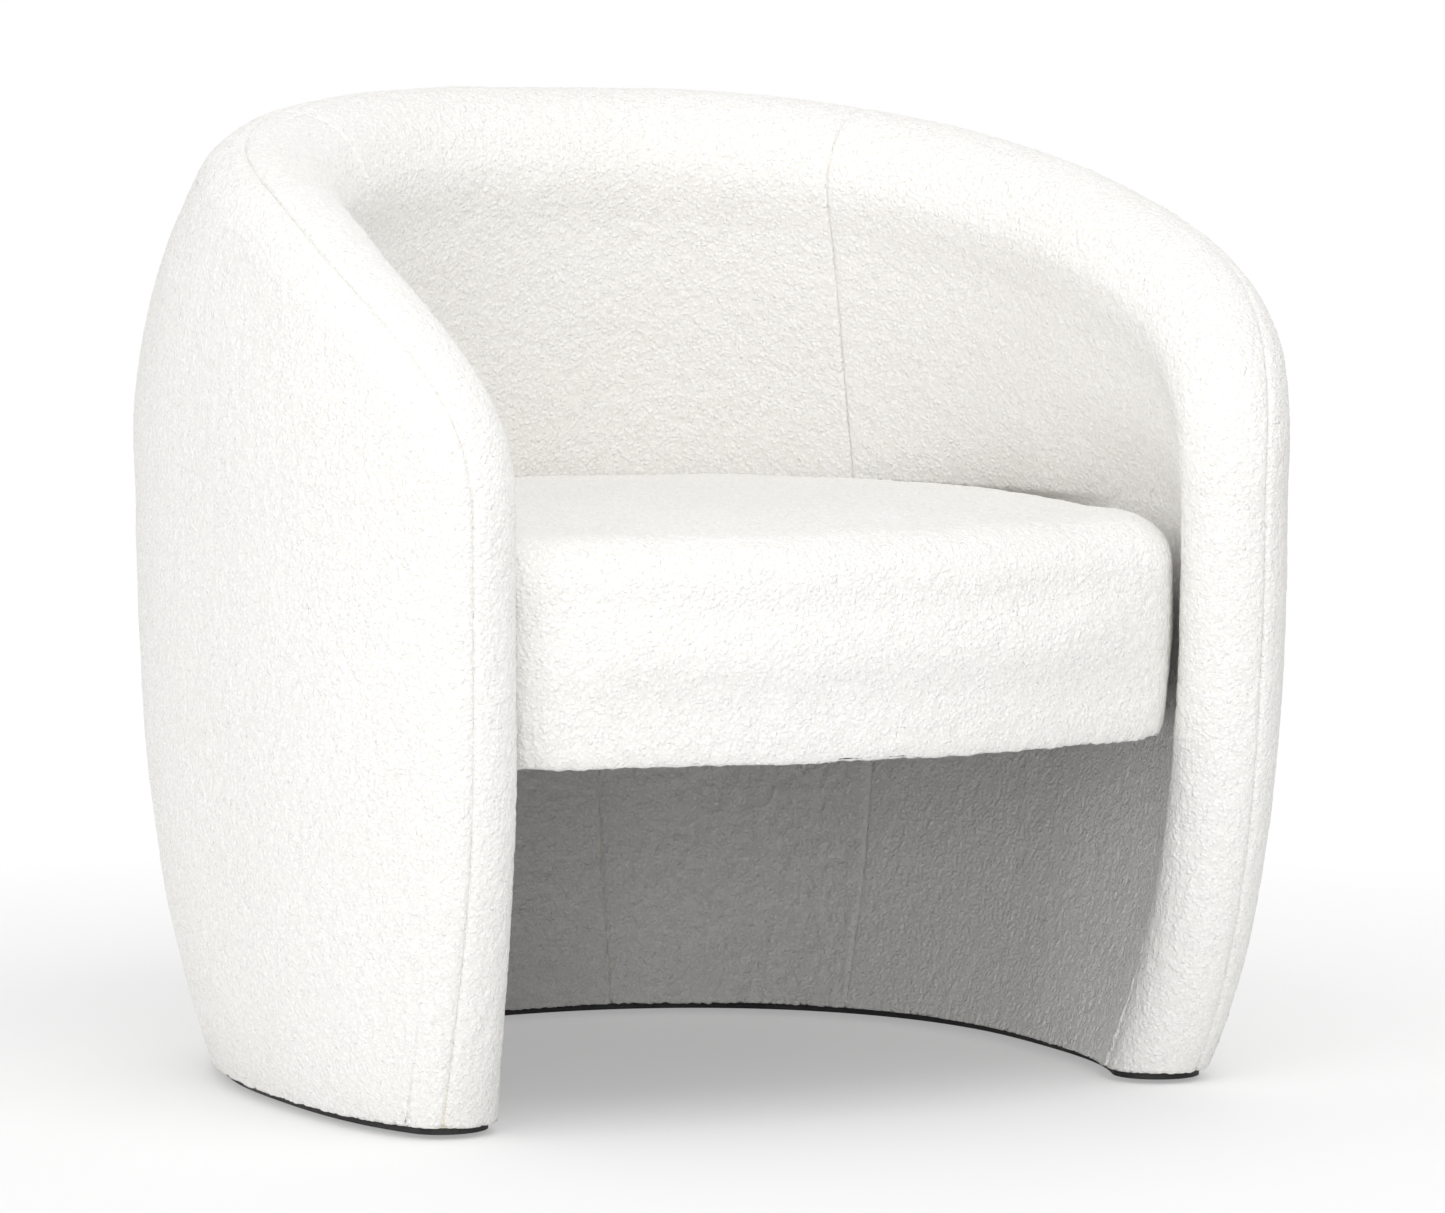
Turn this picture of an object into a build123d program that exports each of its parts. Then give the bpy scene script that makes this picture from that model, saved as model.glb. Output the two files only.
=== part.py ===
"""Barrel armchair: an upholstered tub shell with a floating, bolted-in seat.

Millimetres, +Z up, the sitter faces -Y, origin at the middle of the footprint.
The shell is one thick wall that runs from the left arm front round the back to
the right arm front.  Its middle surface is a superellipse in plan, drawn in
towards the foot and towards the rim.  Every layer of the shell (covers, foam,
skins, frame) is a band at a set depth in that wall.
"""
import math
import os

import numpy as np
from build123d import *

# ---------------------------------------------------------------- overall form
overall_width = 806.0
overall_depth = 718.0
overall_height = 722.0
widest_to_back = 415.0        # from the widest line of the plan to the back
widest_share = 0.6205         # height at which the barrel is fullest, of the whole height
back_roundness = 2.10         # superellipse exponent behind the widest line
front_roundness = 2.86        # and in front of it
front_overrun = 98.0          # the front superellipse runs on past the arm fronts
arm_thickness = 74.0          # wall at the arms, covers included
rim_thickness = 120.0         # padded roll at the top of the back
rim_swell = 1.5               # how gently the wall starts to thicken above the arms
foot_inset = 58.0             # how far the wall draws in at the floor
foot_curve = 2.86
rim_lean = 0.474              # how far the wall leans in at the rim, of its height above the fullest line
rim_curve = 2.05
arm_front_height = 423.0      # height of the foremost point of the arm
arm_front_setback = 57.0      # arm front at the floor, behind its foremost point
arm_front_curve = 3.5
rim_rise = 2.88               # shape of the rim from arm to back, seen from the side
rim_run = 1.20

# ---------------------------------------------------------------- shell layers
glide_height = 3.0
plinth_thickness = 5.0
plinth_recess = 7.0
cover_thickness = 3.0
outer_foam_thickness = 12.0
inner_foam_thickness = 20.0
back_fill = 26.0              # most that the foam of the back fills out the hollow under the roll
back_fill_fade = 1.5          # how fast that filling fades towards the arms
skin_thickness = 4.0
cap_rail_thickness = 18.0
board_thickness = 18.0        # ribs and rings
clearance = 0.4               # between neighbouring layers
core_clearance = 0.8          # between the skins and the boards they are fixed to
seam_angle = 48.0             # rim seam, from the nose of the roll to the outside
panel_seam_arc = 340.0        # vertical seams of the inner covers, along the wall
lining_seam_arc = 84.0        # vertical seams of the lower lining, along the wall
foot_run = 110.0              # level run of the first section behind the foot
square_run = 75.0             # how far a section keeps square to the rim

# ------------------------------------------------------------------- base trim
plinth_screw_diameter = 4.0
plinth_screw_length = 18.0
glide_diameter = 24.0
glide_count = 7

# ------------------------------------------------------------------------ seat
seat_top = 416.0
seat_bottom = 260.0
seat_front_radius = 432.0
seat_front_setback = 0.0      # from the foremost line of the arms
seat_side_gap = 3.0
seat_corner = 28.0            # how far each front corner is rounded back
seat_corner_fullness = 0.62
seat_edge_radius = 22.0
seat_rail_height = 84.0
seat_rail_thickness = 22.0
seat_padding = 8.0            # wadding over rails and foam
seat_hem = 24.0               # cover turned under the rails
insulator_thickness = 3.0
dust_cover_thickness = 0.8
seat_ring_height = 316.0      # underside of the shell ring above the mounting blocks

# ------------------------------------------------------------------ seat webbing
strap_width = 50.0
strap_thickness = 1.5
long_strap_count = 6
cross_strap_count = 5
strap_margin = 0.4            # free room beside the outermost straps, in strap pitches
strap_end = 6.0               # from the outer face of the rails
joint_y = -160.0              # where the front rail meets the hoop
corner_block_length = 90.0
corner_block_thickness = 30.0

# ---------------------------------------------------------------- seat mounting
bolt_diameter = 8.0
bolt_head = 13.0              # across the corners of the hexagon, roughly
bolt_head_height = 5.3
washer_diameter = 22.0
washer_thickness = 1.6
spacer_diameter = 30.0
tee_nut_diameter = 11.0
tee_nut_flange = 22.0
tee_nut_flange_thickness = 1.8
tee_nut_length = 12.0
mount_block_width = 70.0
mount_block_height = 60.0
mount_height = 286.0          # height of the bolt axes

# ------------------------------------------------------------------ rib places
front_rib_setback = 100.0     # from the foremost line of the arm, along the wall
side_rib_share = 0.35         # of the way from the seam rib to the front rib
arm_rib_share = 0.72

OUTSIDE, INSIDE = 1, -1       # faces of the wall

# ------------------------------------------------- how finely the form is drawn
ALONG_DEGREE = 8              # of each smooth patch, along the wall
DOWN_DEGREE = 12              # and from the rim to the floor
PATH_STEPS = 48
NEAR = 0.01                   # step for directions and rates along the wall
NEAR_TURN = 0.002
FOOT, ARM_TOP, SEAM, MIDDLE = range(4)  # landmarks along the right half of the wall
RIGHT_BREAKS = (FOOT, ARM_TOP, (ARM_TOP + SEAM) / 2, SEAM)  # joints between patches

# ------------------------------------------------------- the wall, as formulas
widest_height = widest_share * overall_height
rim_inset = rim_lean * (overall_height - widest_height)
rim_spine_height = overall_height - rim_thickness / 2
plan_centre_y = overall_depth / 2 - widest_to_back
arm_front_y = widest_to_back - overall_depth + arm_thickness / 2
front_half_length = front_overrun - arm_front_y
shell_bottom = glide_height + plinth_thickness + clearance
cover_back = cover_thickness + clearance              # where the foam starts
inner_foam_back = cover_back + inner_foam_thickness


def inset(z):
    """How far the wall has drawn in at height z, and the slope of that inset."""
    if z < widest_height:
        part = (widest_height - z) / widest_height
        slope = foot_inset * foot_curve * part ** (foot_curve - 1) / widest_height
        return -foot_inset * part ** foot_curve, slope
    span = overall_height - widest_height
    part = (z - widest_height) / span
    return -rim_inset * part ** rim_curve, -rim_inset * rim_curve * part ** (rim_curve - 1) / span


def half_wall(z):
    """Half the thickness of the wall at height z."""
    part = (z - arm_front_height) / (rim_spine_height - arm_front_height)
    swell = min(max(part, 0.0), 1.0) ** rim_swell
    return (arm_thickness + (rim_thickness - arm_thickness) * swell) / 2


FULLEST = max(inset(float(z))[0] + half_wall(float(z)) for z in range(int(rim_spine_height)))
half_width = overall_width / 2 - FULLEST
back_half_length = widest_to_back - FULLEST


def plan_table(steps=3600):
    """Arc length, x and y along half of the middle surface, back to front."""
    turn = np.linspace(0.0, math.pi, steps)
    s, c = np.sin(turn), np.cos(turn)
    rear = c >= 0
    power = np.where(rear, 2 / back_roundness, 2 / front_roundness)
    reach = np.where(rear, back_half_length, front_half_length)
    x = half_width * np.abs(s) ** power
    y = reach * np.sign(c) * np.abs(c) ** power
    run = np.concatenate([[0.0], np.cumsum(np.hypot(np.diff(x), np.diff(y)))])
    return run, x, y


PLAN_RUN, PLAN_X, PLAN_Y = plan_table()


def arc_at(y):
    """Arc length from the middle of the back to the plan point at y."""
    return float(np.interp(-y, -PLAN_Y, PLAN_RUN))


def plan_at(arc):
    """Plan point of the middle surface, and its outward normal."""
    x = math.copysign(float(np.interp(abs(arc), PLAN_RUN, PLAN_X)), arc)
    y = float(np.interp(abs(arc), PLAN_RUN, PLAN_Y))
    power = back_roundness if y >= 0 else front_roundness
    reach = back_half_length if y >= 0 else front_half_length
    slope_x = math.copysign(abs(x / half_width) ** (power - 1), x) / half_width
    slope_y = math.copysign(abs(y / reach) ** (power - 1), y) / reach
    length = math.hypot(slope_x, slope_y)
    return x, y, slope_x / length, slope_y / length


def middle(arc, z):
    """Point of the middle surface."""
    x, y, nx, ny = plan_at(arc)
    shift = inset(z)[0]
    return Vector(x + nx * shift, y + ny * shift + plan_centre_y, z)


def across(arc, z):
    """Outward direction through the wall: level below the widest height, square above it."""
    _, _, nx, ny = plan_at(arc)
    slope = inset(z)[1]
    stretch = math.sqrt(1 + slope * slope)
    if z < widest_height:
        return Vector(nx * stretch, ny * stretch, 0)
    return Vector(nx / stretch, ny / stretch, -slope / stretch)


def rim_profile(turn):
    """Side view of the rim's centre line: y from the widest line, and height."""
    rise = math.sin(turn) ** (2 / rim_rise)
    run = 1 - math.cos(turn) ** (2 / rim_run)
    return (arm_front_y + (back_half_length - arm_front_y) * run,
            arm_front_height + (rim_spine_height - arm_front_height) * rise)


def rim_turn_at(arc):
    """Inverse of rim_profile for a point on the plan."""
    y = plan_at(arc)[1]
    run = (y - arm_front_y) / (back_half_length - arm_front_y)
    return math.acos(max(0.0, 1 - run) ** (rim_run / 2))


def arm_profile(z):
    """Side view of the arm front's centre line below its foremost point."""
    part = (arm_front_height - z) / arm_front_height
    return arm_front_y + arm_front_setback * part ** arm_front_curve


def sampling(degree):
    """Places, 0 to 1, at which a curve is sampled, and the matrix from samples to poles."""
    places = (1 - np.cos(np.linspace(0, math.pi, degree + 1))) / 2
    powers = range(degree + 1)
    basis = [[math.comb(degree, k) * place ** k * (1 - place) ** (degree - k) for k in powers]
             for place in places]
    return places, np.linalg.inv(np.array(basis))


ALONG_PLACES, ALONG_POLES = sampling(ALONG_DEGREE)
DOWN_PLACES, DOWN_POLES = sampling(DOWN_DEGREE)


class Section:
    """One line across the wall, from the rim's centre line down to the floor."""

    def __init__(self, top, heading, foot):
        self.top = top
        reach = min(math.dist(top, foot) / 3, square_run)
        ahead = (top[0] + heading[0] * reach, top[1] + heading[1] * reach)
        above = (foot[0], foot[1] + (top[1] - foot[1]) / 3)
        self.path = []
        for k in range(PATH_STEPS + 1):
            t = k / PATH_STEPS
            a, b, c, d = (1 - t) ** 3, 3 * t * (1 - t) ** 2, 3 * t * t * (1 - t), t ** 3
            self.path.append(tuple(a * p + b * q + c * r + d * s
                                   for p, q, r, s in zip(top, ahead, above, foot)))
        points = [middle(*place) for place in self.path]
        self.run = [0.0]
        for one, two in zip(points, points[1:]):
            self.run.append(self.run[-1] + (two - one).length)
        self.length = self.run[-1]
        self.centre = points[0]
        self.out = across(*top)
        self.half = half_wall(top[1])
        inward = middle(top[0] + heading[0] * NEAR, top[1] + heading[1] * NEAR) - self.centre
        self.nose = -inward.normalized()

    def mirrored(self):
        """The same section on the other arm."""
        twin = Section.__new__(Section)
        twin.top = (-self.top[0], self.top[1])
        twin.path = [(-arc, z) for arc, z in self.path]
        twin.run, twin.length, twin.half = self.run, self.length, self.half
        flip = lambda v: Vector(-v.X, v.Y, v.Z)
        twin.centre, twin.out, twin.nose = flip(self.centre), flip(self.out), flip(self.nose)
        return twin

    def point(self, run, side, depth):
        """Point at a distance down the section, at a depth under one face."""
        arc = float(np.interp(run, self.run, [p[0] for p in self.path]))
        z = float(np.interp(run, self.run, [p[1] for p in self.path]))
        soft = side == INSIDE and depth < inner_foam_back
        reach = half_wall(z) - depth + (self.fill(z) if soft else 0)
        return middle(arc, z) + across(arc, z) * (side * reach)

    def fill(self, z):
        """How far the foam fills out the hollow of the inside between the seat and the roll."""
        tall = (self.top[1] - seat_top) / (rim_spine_height - seat_top)
        if tall <= 0:
            return 0
        part = min(max((z - seat_top) / (self.top[1] - seat_top), 0), 1)
        return back_fill * tall ** back_fill_fade * math.sin(math.pi * part) ** 2

    def down(self, side, depth, start, end):
        """Points down (or up) one face of a layer."""
        return [self.point(start + (end - start) * part, side, depth) for part in DOWN_PLACES]

    def round(self, depth, start, end, ahead=0.0):
        """Points on the arc of the roll; 90 is its outside, 0 the nose, -90 the inside."""
        radius = self.half - depth - ahead
        centre = self.centre + self.nose * ahead
        angles = [math.radians(start + (end - start) * part) for part in DOWN_PLACES]
        return [centre + self.nose * (radius * math.cos(a)) + self.out * (radius * math.sin(a))
                for a in angles]


def across_spine(arc, z, ahead_arc, ahead_z):
    """Heading, in arc and height, square to the rim's centre line and inwards."""
    here = middle(arc, z)
    along = (middle(ahead_arc, ahead_z) - here).normalized()
    inward = across(arc, z).normalized().cross(along)
    if inward.Z > 0:
        inward = -inward
    side = (middle(arc + NEAR, z) - here) / NEAR
    rise = (middle(arc, z + NEAR) - here) / NEAR
    turn = (inward - rise * inward.Z).dot(side.normalized()) / side.length
    return turn, inward.Z


def rim_table(steps=2400):
    """Length run along the rim from the arm front to the panel seam, against the turn."""
    turns = np.linspace(0.0, rim_turn_at(panel_seam_arc), steps)
    points = []
    for turn in turns:
        y, z = rim_profile(turn)
        points.append(tuple(middle(arc_at(y), z)))
    steps_run = np.linalg.norm(np.diff(np.array(points), axis=0), axis=1)
    return turns, np.concatenate([[0.0], np.cumsum(steps_run)])


RIM_TURNS, RIM_RUN = rim_table()
ARM_RUN = arm_front_height - shell_bottom
FOOT_ARC = arc_at(arm_profile(shell_bottom)) - foot_run


def section_at(place):
    """Section at a landmark of the right half, or between two."""
    if place >= SEAM:
        return back_section(panel_seam_arc * (MIDDLE - place))
    up_arm = min(place, ARM_TOP) - FOOT
    up_rim = max(place, ARM_TOP) - ARM_TOP
    gone = ARM_RUN * up_arm + RIM_RUN[-1] * up_rim
    landing = FOOT_ARC + (panel_seam_arc - FOOT_ARC) * gone / (ARM_RUN + RIM_RUN[-1])
    foot = (landing, shell_bottom)
    if place <= ARM_TOP:
        z = shell_bottom + ARM_RUN * up_arm
        return Section((arc_at(arm_profile(z)), z), (-1.0, 0.0), foot)
    turn = float(np.interp(up_rim * RIM_RUN[-1], RIM_RUN, RIM_TURNS))
    y, z = rim_profile(turn)
    y_next, z_next = rim_profile(turn + NEAR_TURN)
    square = across_spine(arc_at(y), z, arc_at(y_next), z_next)
    plumb = up_rim ** 2
    heading = (square[0] * (1 - plumb), square[1] * (1 - plumb) - plumb)
    return Section((arc_at(y), z), heading, foot)


def back_section(arc):
    """Upright section at a place along the back."""
    z = rim_profile(rim_turn_at(arc))[1]
    return Section((arc, z), (0.0, -1.0), (arc, shell_bottom))


def run_between(make, first, last):
    """Sections at the sampling places between two ends; each run becomes one row of patches."""
    return [make(first + (last - first) * part) for part in ALONG_PLACES]


def mirrored(runs):
    """The same runs on the other arm, in the order they are met from left to right."""
    return [[section.mirrored() for section in run[::-1]] for run in runs[::-1]]


RIGHT_UP = [run_between(section_at, first, last)
            for first, last in zip(RIGHT_BREAKS, RIGHT_BREAKS[1:])]
BACK_UP = [run_between(section_at, SEAM, MIDDLE)]
RIGHT = [run[::-1] for run in RIGHT_UP[::-1]]
LEFT = mirrored(RIGHT)
BACK = mirrored([run[::-1] for run in BACK_UP]) + [run[::-1] for run in BACK_UP]
WHOLE = LEFT + BACK + RIGHT
FOOT_TIP = WHOLE[0][0].top[0]


# ------------------------------------------------------------ depths in the wall
outer_foam_back = cover_back + outer_foam_thickness
outer_skin_face = outer_foam_back + clearance
outer_core_face = outer_skin_face + skin_thickness + core_clearance
inner_skin_face = inner_foam_back + clearance
inner_core_face = inner_skin_face + skin_thickness + core_clearance
rail_back = cap_rail_thickness + clearance
lining_top = seat_bottom + seat_rail_height / 2       # hidden behind the seat
huge = overall_width + overall_depth


def line(one, two):
    """Straight edge between two points."""
    return Edge.make_line(one, two)


def loop(*edges):
    """Closed wire through the edges, with straight joins where their ends stand apart."""
    chain = []
    for edge, after in zip(edges, edges[1:] + edges[:1]):
        chain.append(edge)
        if ((after @ 0) - (edge @ 1)).length > 1e-6:
            chain.append(line(edge @ 1, after @ 0))
    return Wire(chain)


def closed(*sides):
    """Sides of a ring round a layer, with straight sides added where two stand apart."""
    ring = []
    for side, after in zip(sides, sides[1:] + sides[:1]):
        ring.append(side)
        if (after[0] - side[-1]).length > 1e-6:
            ring.append([side[-1], after[0]])
    return ring


def poles_of(side):
    """Control points of the curve through the samples of a side."""
    samples = np.array([tuple(point) for point in side])
    if len(side) == 2:
        return samples
    poles = DOWN_POLES @ samples
    poles[0], poles[-1] = samples[0], samples[-1]
    return poles


def end_face(ring):
    """Flat face inside the ring at the end of a layer."""
    return Face(Wire([Edge.make_bezier(*[Vector(*pole) for pole in poles_of(side)])
                      for side in ring]))


def patched(runs, ring):
    """Solid whose sides are smooth patches through the ring of every section."""
    faces = [end_face(ring(runs[0][0])), end_face(ring(runs[-1][-1]))]
    for run in runs:
        rings = [ring(section) for section in run]
        for sides in zip(*rings):
            poles = np.array([poles_of(side) for side in sides])
            poles = np.einsum("ij,jkc->ikc", ALONG_POLES, poles)
            faces.append(Face.make_bezier_surface([[Vector(*pole) for pole in row]
                                                   for row in poles]))
    return Solid(Shell(faces))


def solid_of(shape):
    """The body left by a cut, without loose offcuts."""
    return max(shape.solids(), key=lambda one: one.volume)


def block(x0, x1, y0, y1, z0, z1):
    """Box between two corners."""
    return Pos((x0 + x1) / 2, (y0 + y1) / 2, (z0 + z1) / 2) * Box(x1 - x0, y1 - y0, z1 - z0)


def band(runs, side, face, back):
    """Sheet between two depths under one face of the wall."""
    return patched(runs, lambda section: closed(section.down(side, face, section.length, 0),
                                                section.down(side, back, 0, section.length)))


def between_skins(section, start, end):
    """Ring round the space between the two skins."""
    return closed(section.down(OUTSIDE, outer_core_face, end, start),
                  section.down(INSIDE, inner_core_face, start, end))


# ------------------------------------------------------------------------ covers
def outer_cover():
    """Outside cover, from the floor to the rim seam."""
    def ring(section):
        stop = seam_angle + math.degrees(clearance / 2 / section.half)
        return closed(section.down(OUTSIDE, 0, section.length, 0),
                      section.round(0, 90, stop),
                      section.round(cover_thickness, stop, 90),
                      section.down(OUTSIDE, cover_thickness, 0, section.length))

    return patched(WHOLE, ring)


def inner_cover(runs):
    """Inside cover, from the rim seam over the roll and down the inside to the floor."""
    def ring(section):
        start = seam_angle - math.degrees(clearance / 2 / section.half)
        return closed(section.round(0, start, -90),
                      section.down(INSIDE, 0, 0, section.length),
                      section.down(INSIDE, cover_thickness, section.length, 0),
                      section.round(cover_thickness, -90, start))

    return patched(runs, ring)


def lining(first, last):
    """Lower inside cover between two vertical seams, from behind the seat to the floor."""
    sheet = band([run_between(back_section, first, last)], INSIDE, 0, cover_thickness)
    return solid_of(sheet & block(-huge, huge, -huge, huge, -huge, lining_top - clearance))


# ------------------------------------------------------------------ shell padding
def rim_roll():
    """Half-round foam roll that caps the rim and the arm fronts."""
    return patched(WHOLE, lambda section: closed(section.round(cover_back, 90, -90, clearance)))


# -------------------------------------------------------------------- shell frame
def cap_rail(runs):
    """Bent rail along the top edge of the frame."""
    return patched(runs, lambda section: between_skins(section, 0, cap_rail_thickness))


def level_side(side, depth, z, first, last, steps=24):
    """Level curve along the wall, a depth under one face."""
    reach = side * (half_wall(z) - depth)
    arcs = [first + (last - first) * k / steps for k in range(steps + 1)]
    return Edge.make_spline([middle(arc, z) + across(arc, z) * reach for arc in arcs])


def arc_of(length, arc, z):
    """Plan arc that a length along the wall takes up at a place and a height."""
    return length * NEAR / (middle(arc + NEAR, z) - middle(arc, z)).length


def level_board(bottom):
    """Board between the skins, its edges bevelled to the lean of the wall."""
    rings = []
    for z in (bottom, bottom + board_thickness):
        tip = arc_at(arm_profile(z))
        end = tip - arc_of(rail_back + clearance, tip, z)
        rings.append(loop(level_side(OUTSIDE, outer_core_face, z, -end, end),
                          level_side(INSIDE, inner_core_face, z, end, -end)))
    return Solid.make_loft(rings, ruled=True)


def wall_frame(arc, z):
    """Plane across the wall: X outwards, Z up, origin on the middle surface."""
    _, _, nx, ny = plan_at(arc)
    return Plane(origin=middle(arc, z), x_dir=Vector(nx, ny, 0), z_dir=Vector(0, 0, 1))


def at_wall(arc, z, length, width, height, shift=0.0):
    """Box across the wall; shift moves it outwards."""
    return wall_frame(arc, z) * Pos(shift, 0, 0) * Box(length, width, height)


def rib_arcs():
    """Place along the wall of each rib of one side."""
    front = arc_at(arm_front_y) - front_rib_setback
    reach = front - panel_seam_arc
    return {"corner": panel_seam_arc / 2, "seam": panel_seam_arc,
            "side": panel_seam_arc + reach * side_rib_share,
            "arm": panel_seam_arc + reach * arm_rib_share, "front": front}


def signed_ribs():
    """Name and place along the wall of each rib."""
    places = {"rib_back": 0.0}
    for name, arc in rib_arcs().items():
        places[f"rib_{name}_left"] = -arc
        places[f"rib_{name}_right"] = arc
    return places


def ring_slot_centre():
    """Level line, across the wall, at which ribs and seat ring halve into each other."""
    return (inner_core_face - outer_core_face) / 2


def seat_ring():
    """Level ring that ties the ribs together behind the seat, notched over each rib."""
    ring = level_board(seat_ring_height)
    notch = board_thickness + 2 * clearance
    centre = ring_slot_centre()
    reach = rim_thickness
    for arc in signed_ribs().values():
        ring -= at_wall(arc, seat_ring_height + board_thickness / 2, reach, notch,
                        2 * board_thickness, centre + reach / 2)
    return solid_of(ring)


def over_rail():
    """Everything from just under the cap rail upwards, to cut the tops of the ribs."""
    def ring(section):
        outer = section.point(rail_back, OUTSIDE, outer_core_face)
        inner = section.point(rail_back, INSIDE, inner_core_face)
        wide = (outer - inner).normalized() * board_thickness
        rise = section.nose * (rim_thickness / 2)
        return closed([outer + wide, inner - wide], [inner - wide + rise, outer + wide + rise])

    return patched(LEFT[1:] + BACK + RIGHT[:-1], ring)


def slice_point(arc, offset, side, depth, z):
    """Point under one face of the wall, in the plane a set distance from that of the rib."""
    _, _, nx, ny = plan_at(arc)
    along, start = Vector(ny, -nx, 0), middle(arc, z)
    place = arc
    for _ in range(6):
        point = middle(place, z) + across(place, z) * (side * (half_wall(z) - depth))
        stray = offset - (point - start).dot(along)
        place += stray
    return point + along * stray


def rib(arc, rail_cut):
    """Upright rib across the wall, under the cap rail and halved over the seat ring."""
    base = shell_bottom + board_thickness + clearance
    rings = []
    for offset in (-board_thickness / 2, board_thickness / 2):
        top = rim_profile(rim_turn_at(arc + offset))[1]
        heights = [base + (top - base) * k / 9 for k in range(10)]
        outer = [slice_point(arc, offset, OUTSIDE, outer_core_face, z) for z in heights]
        inner = [slice_point(arc, offset, INSIDE, inner_core_face, z) for z in heights]
        rings.append(loop(Edge.make_spline(outer), Edge.make_spline(inner[::-1])))
    shape = Solid.make_loft(rings, ruled=True) - rail_cut
    centre = ring_slot_centre() + clearance
    shape -= at_wall(arc, seat_ring_height + board_thickness / 2, rim_thickness,
                     2 * board_thickness, board_thickness + 2 * clearance,
                     centre - rim_thickness / 2)
    return solid_of(shape)


# --------------------------------------------------------------------- base trim
def foot_outline(recess):
    """Level outline of the shell at the floor, drawn in by a recess."""
    tip = FOOT_TIP
    steps = 36

    def side(which, first, last):
        points = []
        for k in range(steps + 1):
            arc = first + (last - first) * k / steps
            points.append(middle(arc, shell_bottom)
                          + across(arc, shell_bottom) * (which * (half_wall(shell_bottom) - recess)))
        return Edge.make_spline(points)

    left, right = WHOLE[0][0], WHOLE[-1][-1]
    return loop(Edge.make_spline(left.round(recess, -90, 90)), side(OUTSIDE, tip, -tip),
                Edge.make_spline(right.round(recess, 90, -90)), side(INSIDE, -tip, tip))


def plinth():
    """Black base board under the shell, set back from the covers."""
    face = Face(foot_outline(plinth_recess)).moved(Location((0, 0, -clearance)))
    board = Solid.extrude(face, Vector(0, 0, -plinth_thickness))
    for x, y in screw_places():
        board -= Pos(x, y, shell_bottom) * Cylinder(plinth_screw_diameter / 2 + clearance,
                                                    4 * plinth_thickness)
    return solid_of(board)


glide_reach = -FOOT_TIP - glide_diameter


def spread(count, end):
    """Even places from -end to end."""
    return [end * (2 * k / (count - 1) - 1) for k in range(count)]


def screw_places():
    """Plan points of the plinth screws, midway between the glides."""
    ends = spread(glide_count, glide_reach)
    points = [middle((one + two) / 2, shell_bottom) for one, two in zip(ends, ends[1:])]
    return [(p.X, p.Y) for p in points]


def plinth_screws():
    """Pan-head screws that hold the plinth to the base ring."""
    bottom = glide_height
    head = plinth_screw_diameter
    parts = []
    for x, y in screw_places():
        shank = Pos(x, y, bottom + plinth_screw_length / 2) * Cylinder(plinth_screw_diameter / 2,
                                                                       plinth_screw_length)
        cap = Pos(x, y, bottom - glide_height / 4) * Cylinder(head, glide_height / 2)
        parts.append(solid_of(shank + cap))
    return Compound(parts)


def glides():
    """Nylon glides under the plinth."""
    parts = []
    for arc in spread(glide_count, glide_reach):
        place = middle(arc, shell_bottom)
        disc = Cylinder(glide_diameter / 2, glide_height)
        disc = chamfer(disc.edges().sort_by(Axis.Z)[0], glide_height / 3)
        parts.append(solid_of(Pos(place.X, place.Y, glide_height / 2) * disc))
    return Compound(parts)


def base_ring():
    """Board that the shell stands on, between the skins."""
    ring = level_board(shell_bottom)
    for x, y in screw_places():
        ring -= Pos(x, y, shell_bottom) * Cylinder(plinth_screw_diameter / 2 + clearance,
                                                   2 * plinth_screw_length)
    return solid_of(ring)


# -------------------------------------------------------------------------- seat
seat_front_y = -overall_depth / 2 + seat_front_setback
seat_front_centre = seat_front_y + seat_front_radius


def seat_side(arc, recess):
    """Plan point of the seat's side or back, drawn in by a recess."""
    depth = -(seat_side_gap + recess)
    point = middle(arc, seat_bottom) - across(arc, seat_bottom) * (half_wall(seat_bottom) - depth)
    return Vector(point.X, point.Y, 0)


def seat_corner_arc(recess):
    """Place along the wall at which the side meets the curved front."""
    low, high = arc_at(0), arc_at(arm_front_y)
    centre = Vector(0, seat_front_centre, 0)
    for _ in range(50):
        place = (low + high) / 2
        if (seat_side(place, recess) - centre).length < seat_front_radius - recess:
            low = place
        else:
            high = place
    return low


def seat_outline(recess, z):
    """Level outline of the seat: bowed front, sides that follow the shell, rounded corners."""
    end = seat_corner_arc(recess) - seat_corner
    steps = 24
    side = Edge.make_spline([seat_side(end * (1 - 2 * k / steps), recess) for k in range(steps + 1)])
    radius = seat_front_radius - recess
    corner = seat_side(seat_corner_arc(recess), recess)
    half_turn = math.atan2(corner.X, seat_front_centre - corner.Y) - seat_corner / radius
    centre = Vector(0, seat_front_centre, 0)

    def front(turn):
        return centre + Vector(radius * math.sin(turn), -radius * math.cos(turn), 0)

    bow = Edge.make_three_point_arc(front(-half_turn), front(0), front(half_turn))
    pull = seat_corner * seat_corner_fullness

    def corner_edge(start, start_way, stop, stop_way):
        return Edge.make_bezier(start, start + start_way * pull, stop - stop_way * pull, stop)

    left = corner_edge(side @ 1, (side % 1).normalized(), bow @ 0, (bow % 0).normalized())
    right = corner_edge(bow @ 1, (bow % 1).normalized(), side @ 0, (side % 0).normalized())
    return Wire([side, left, bow, right]).moved(Location((0, 0, z)))


def seat_form(depth, bottom):
    """The seat's block with its softened top edge, a depth under its surface."""
    body = Solid.extrude(Face(seat_outline(depth, bottom)),
                         Vector(0, 0, seat_top - depth - bottom))
    rim = body.edges().group_by(Axis.Z)[-1]
    return body.fillet(max(seat_edge_radius - depth, seat_edge_radius / 3), rim)


def prism(recess, bottom, top):
    """Upright prism on the seat's outline."""
    return Solid.extrude(Face(seat_outline(recess, bottom)), Vector(0, 0, top - bottom))


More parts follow.
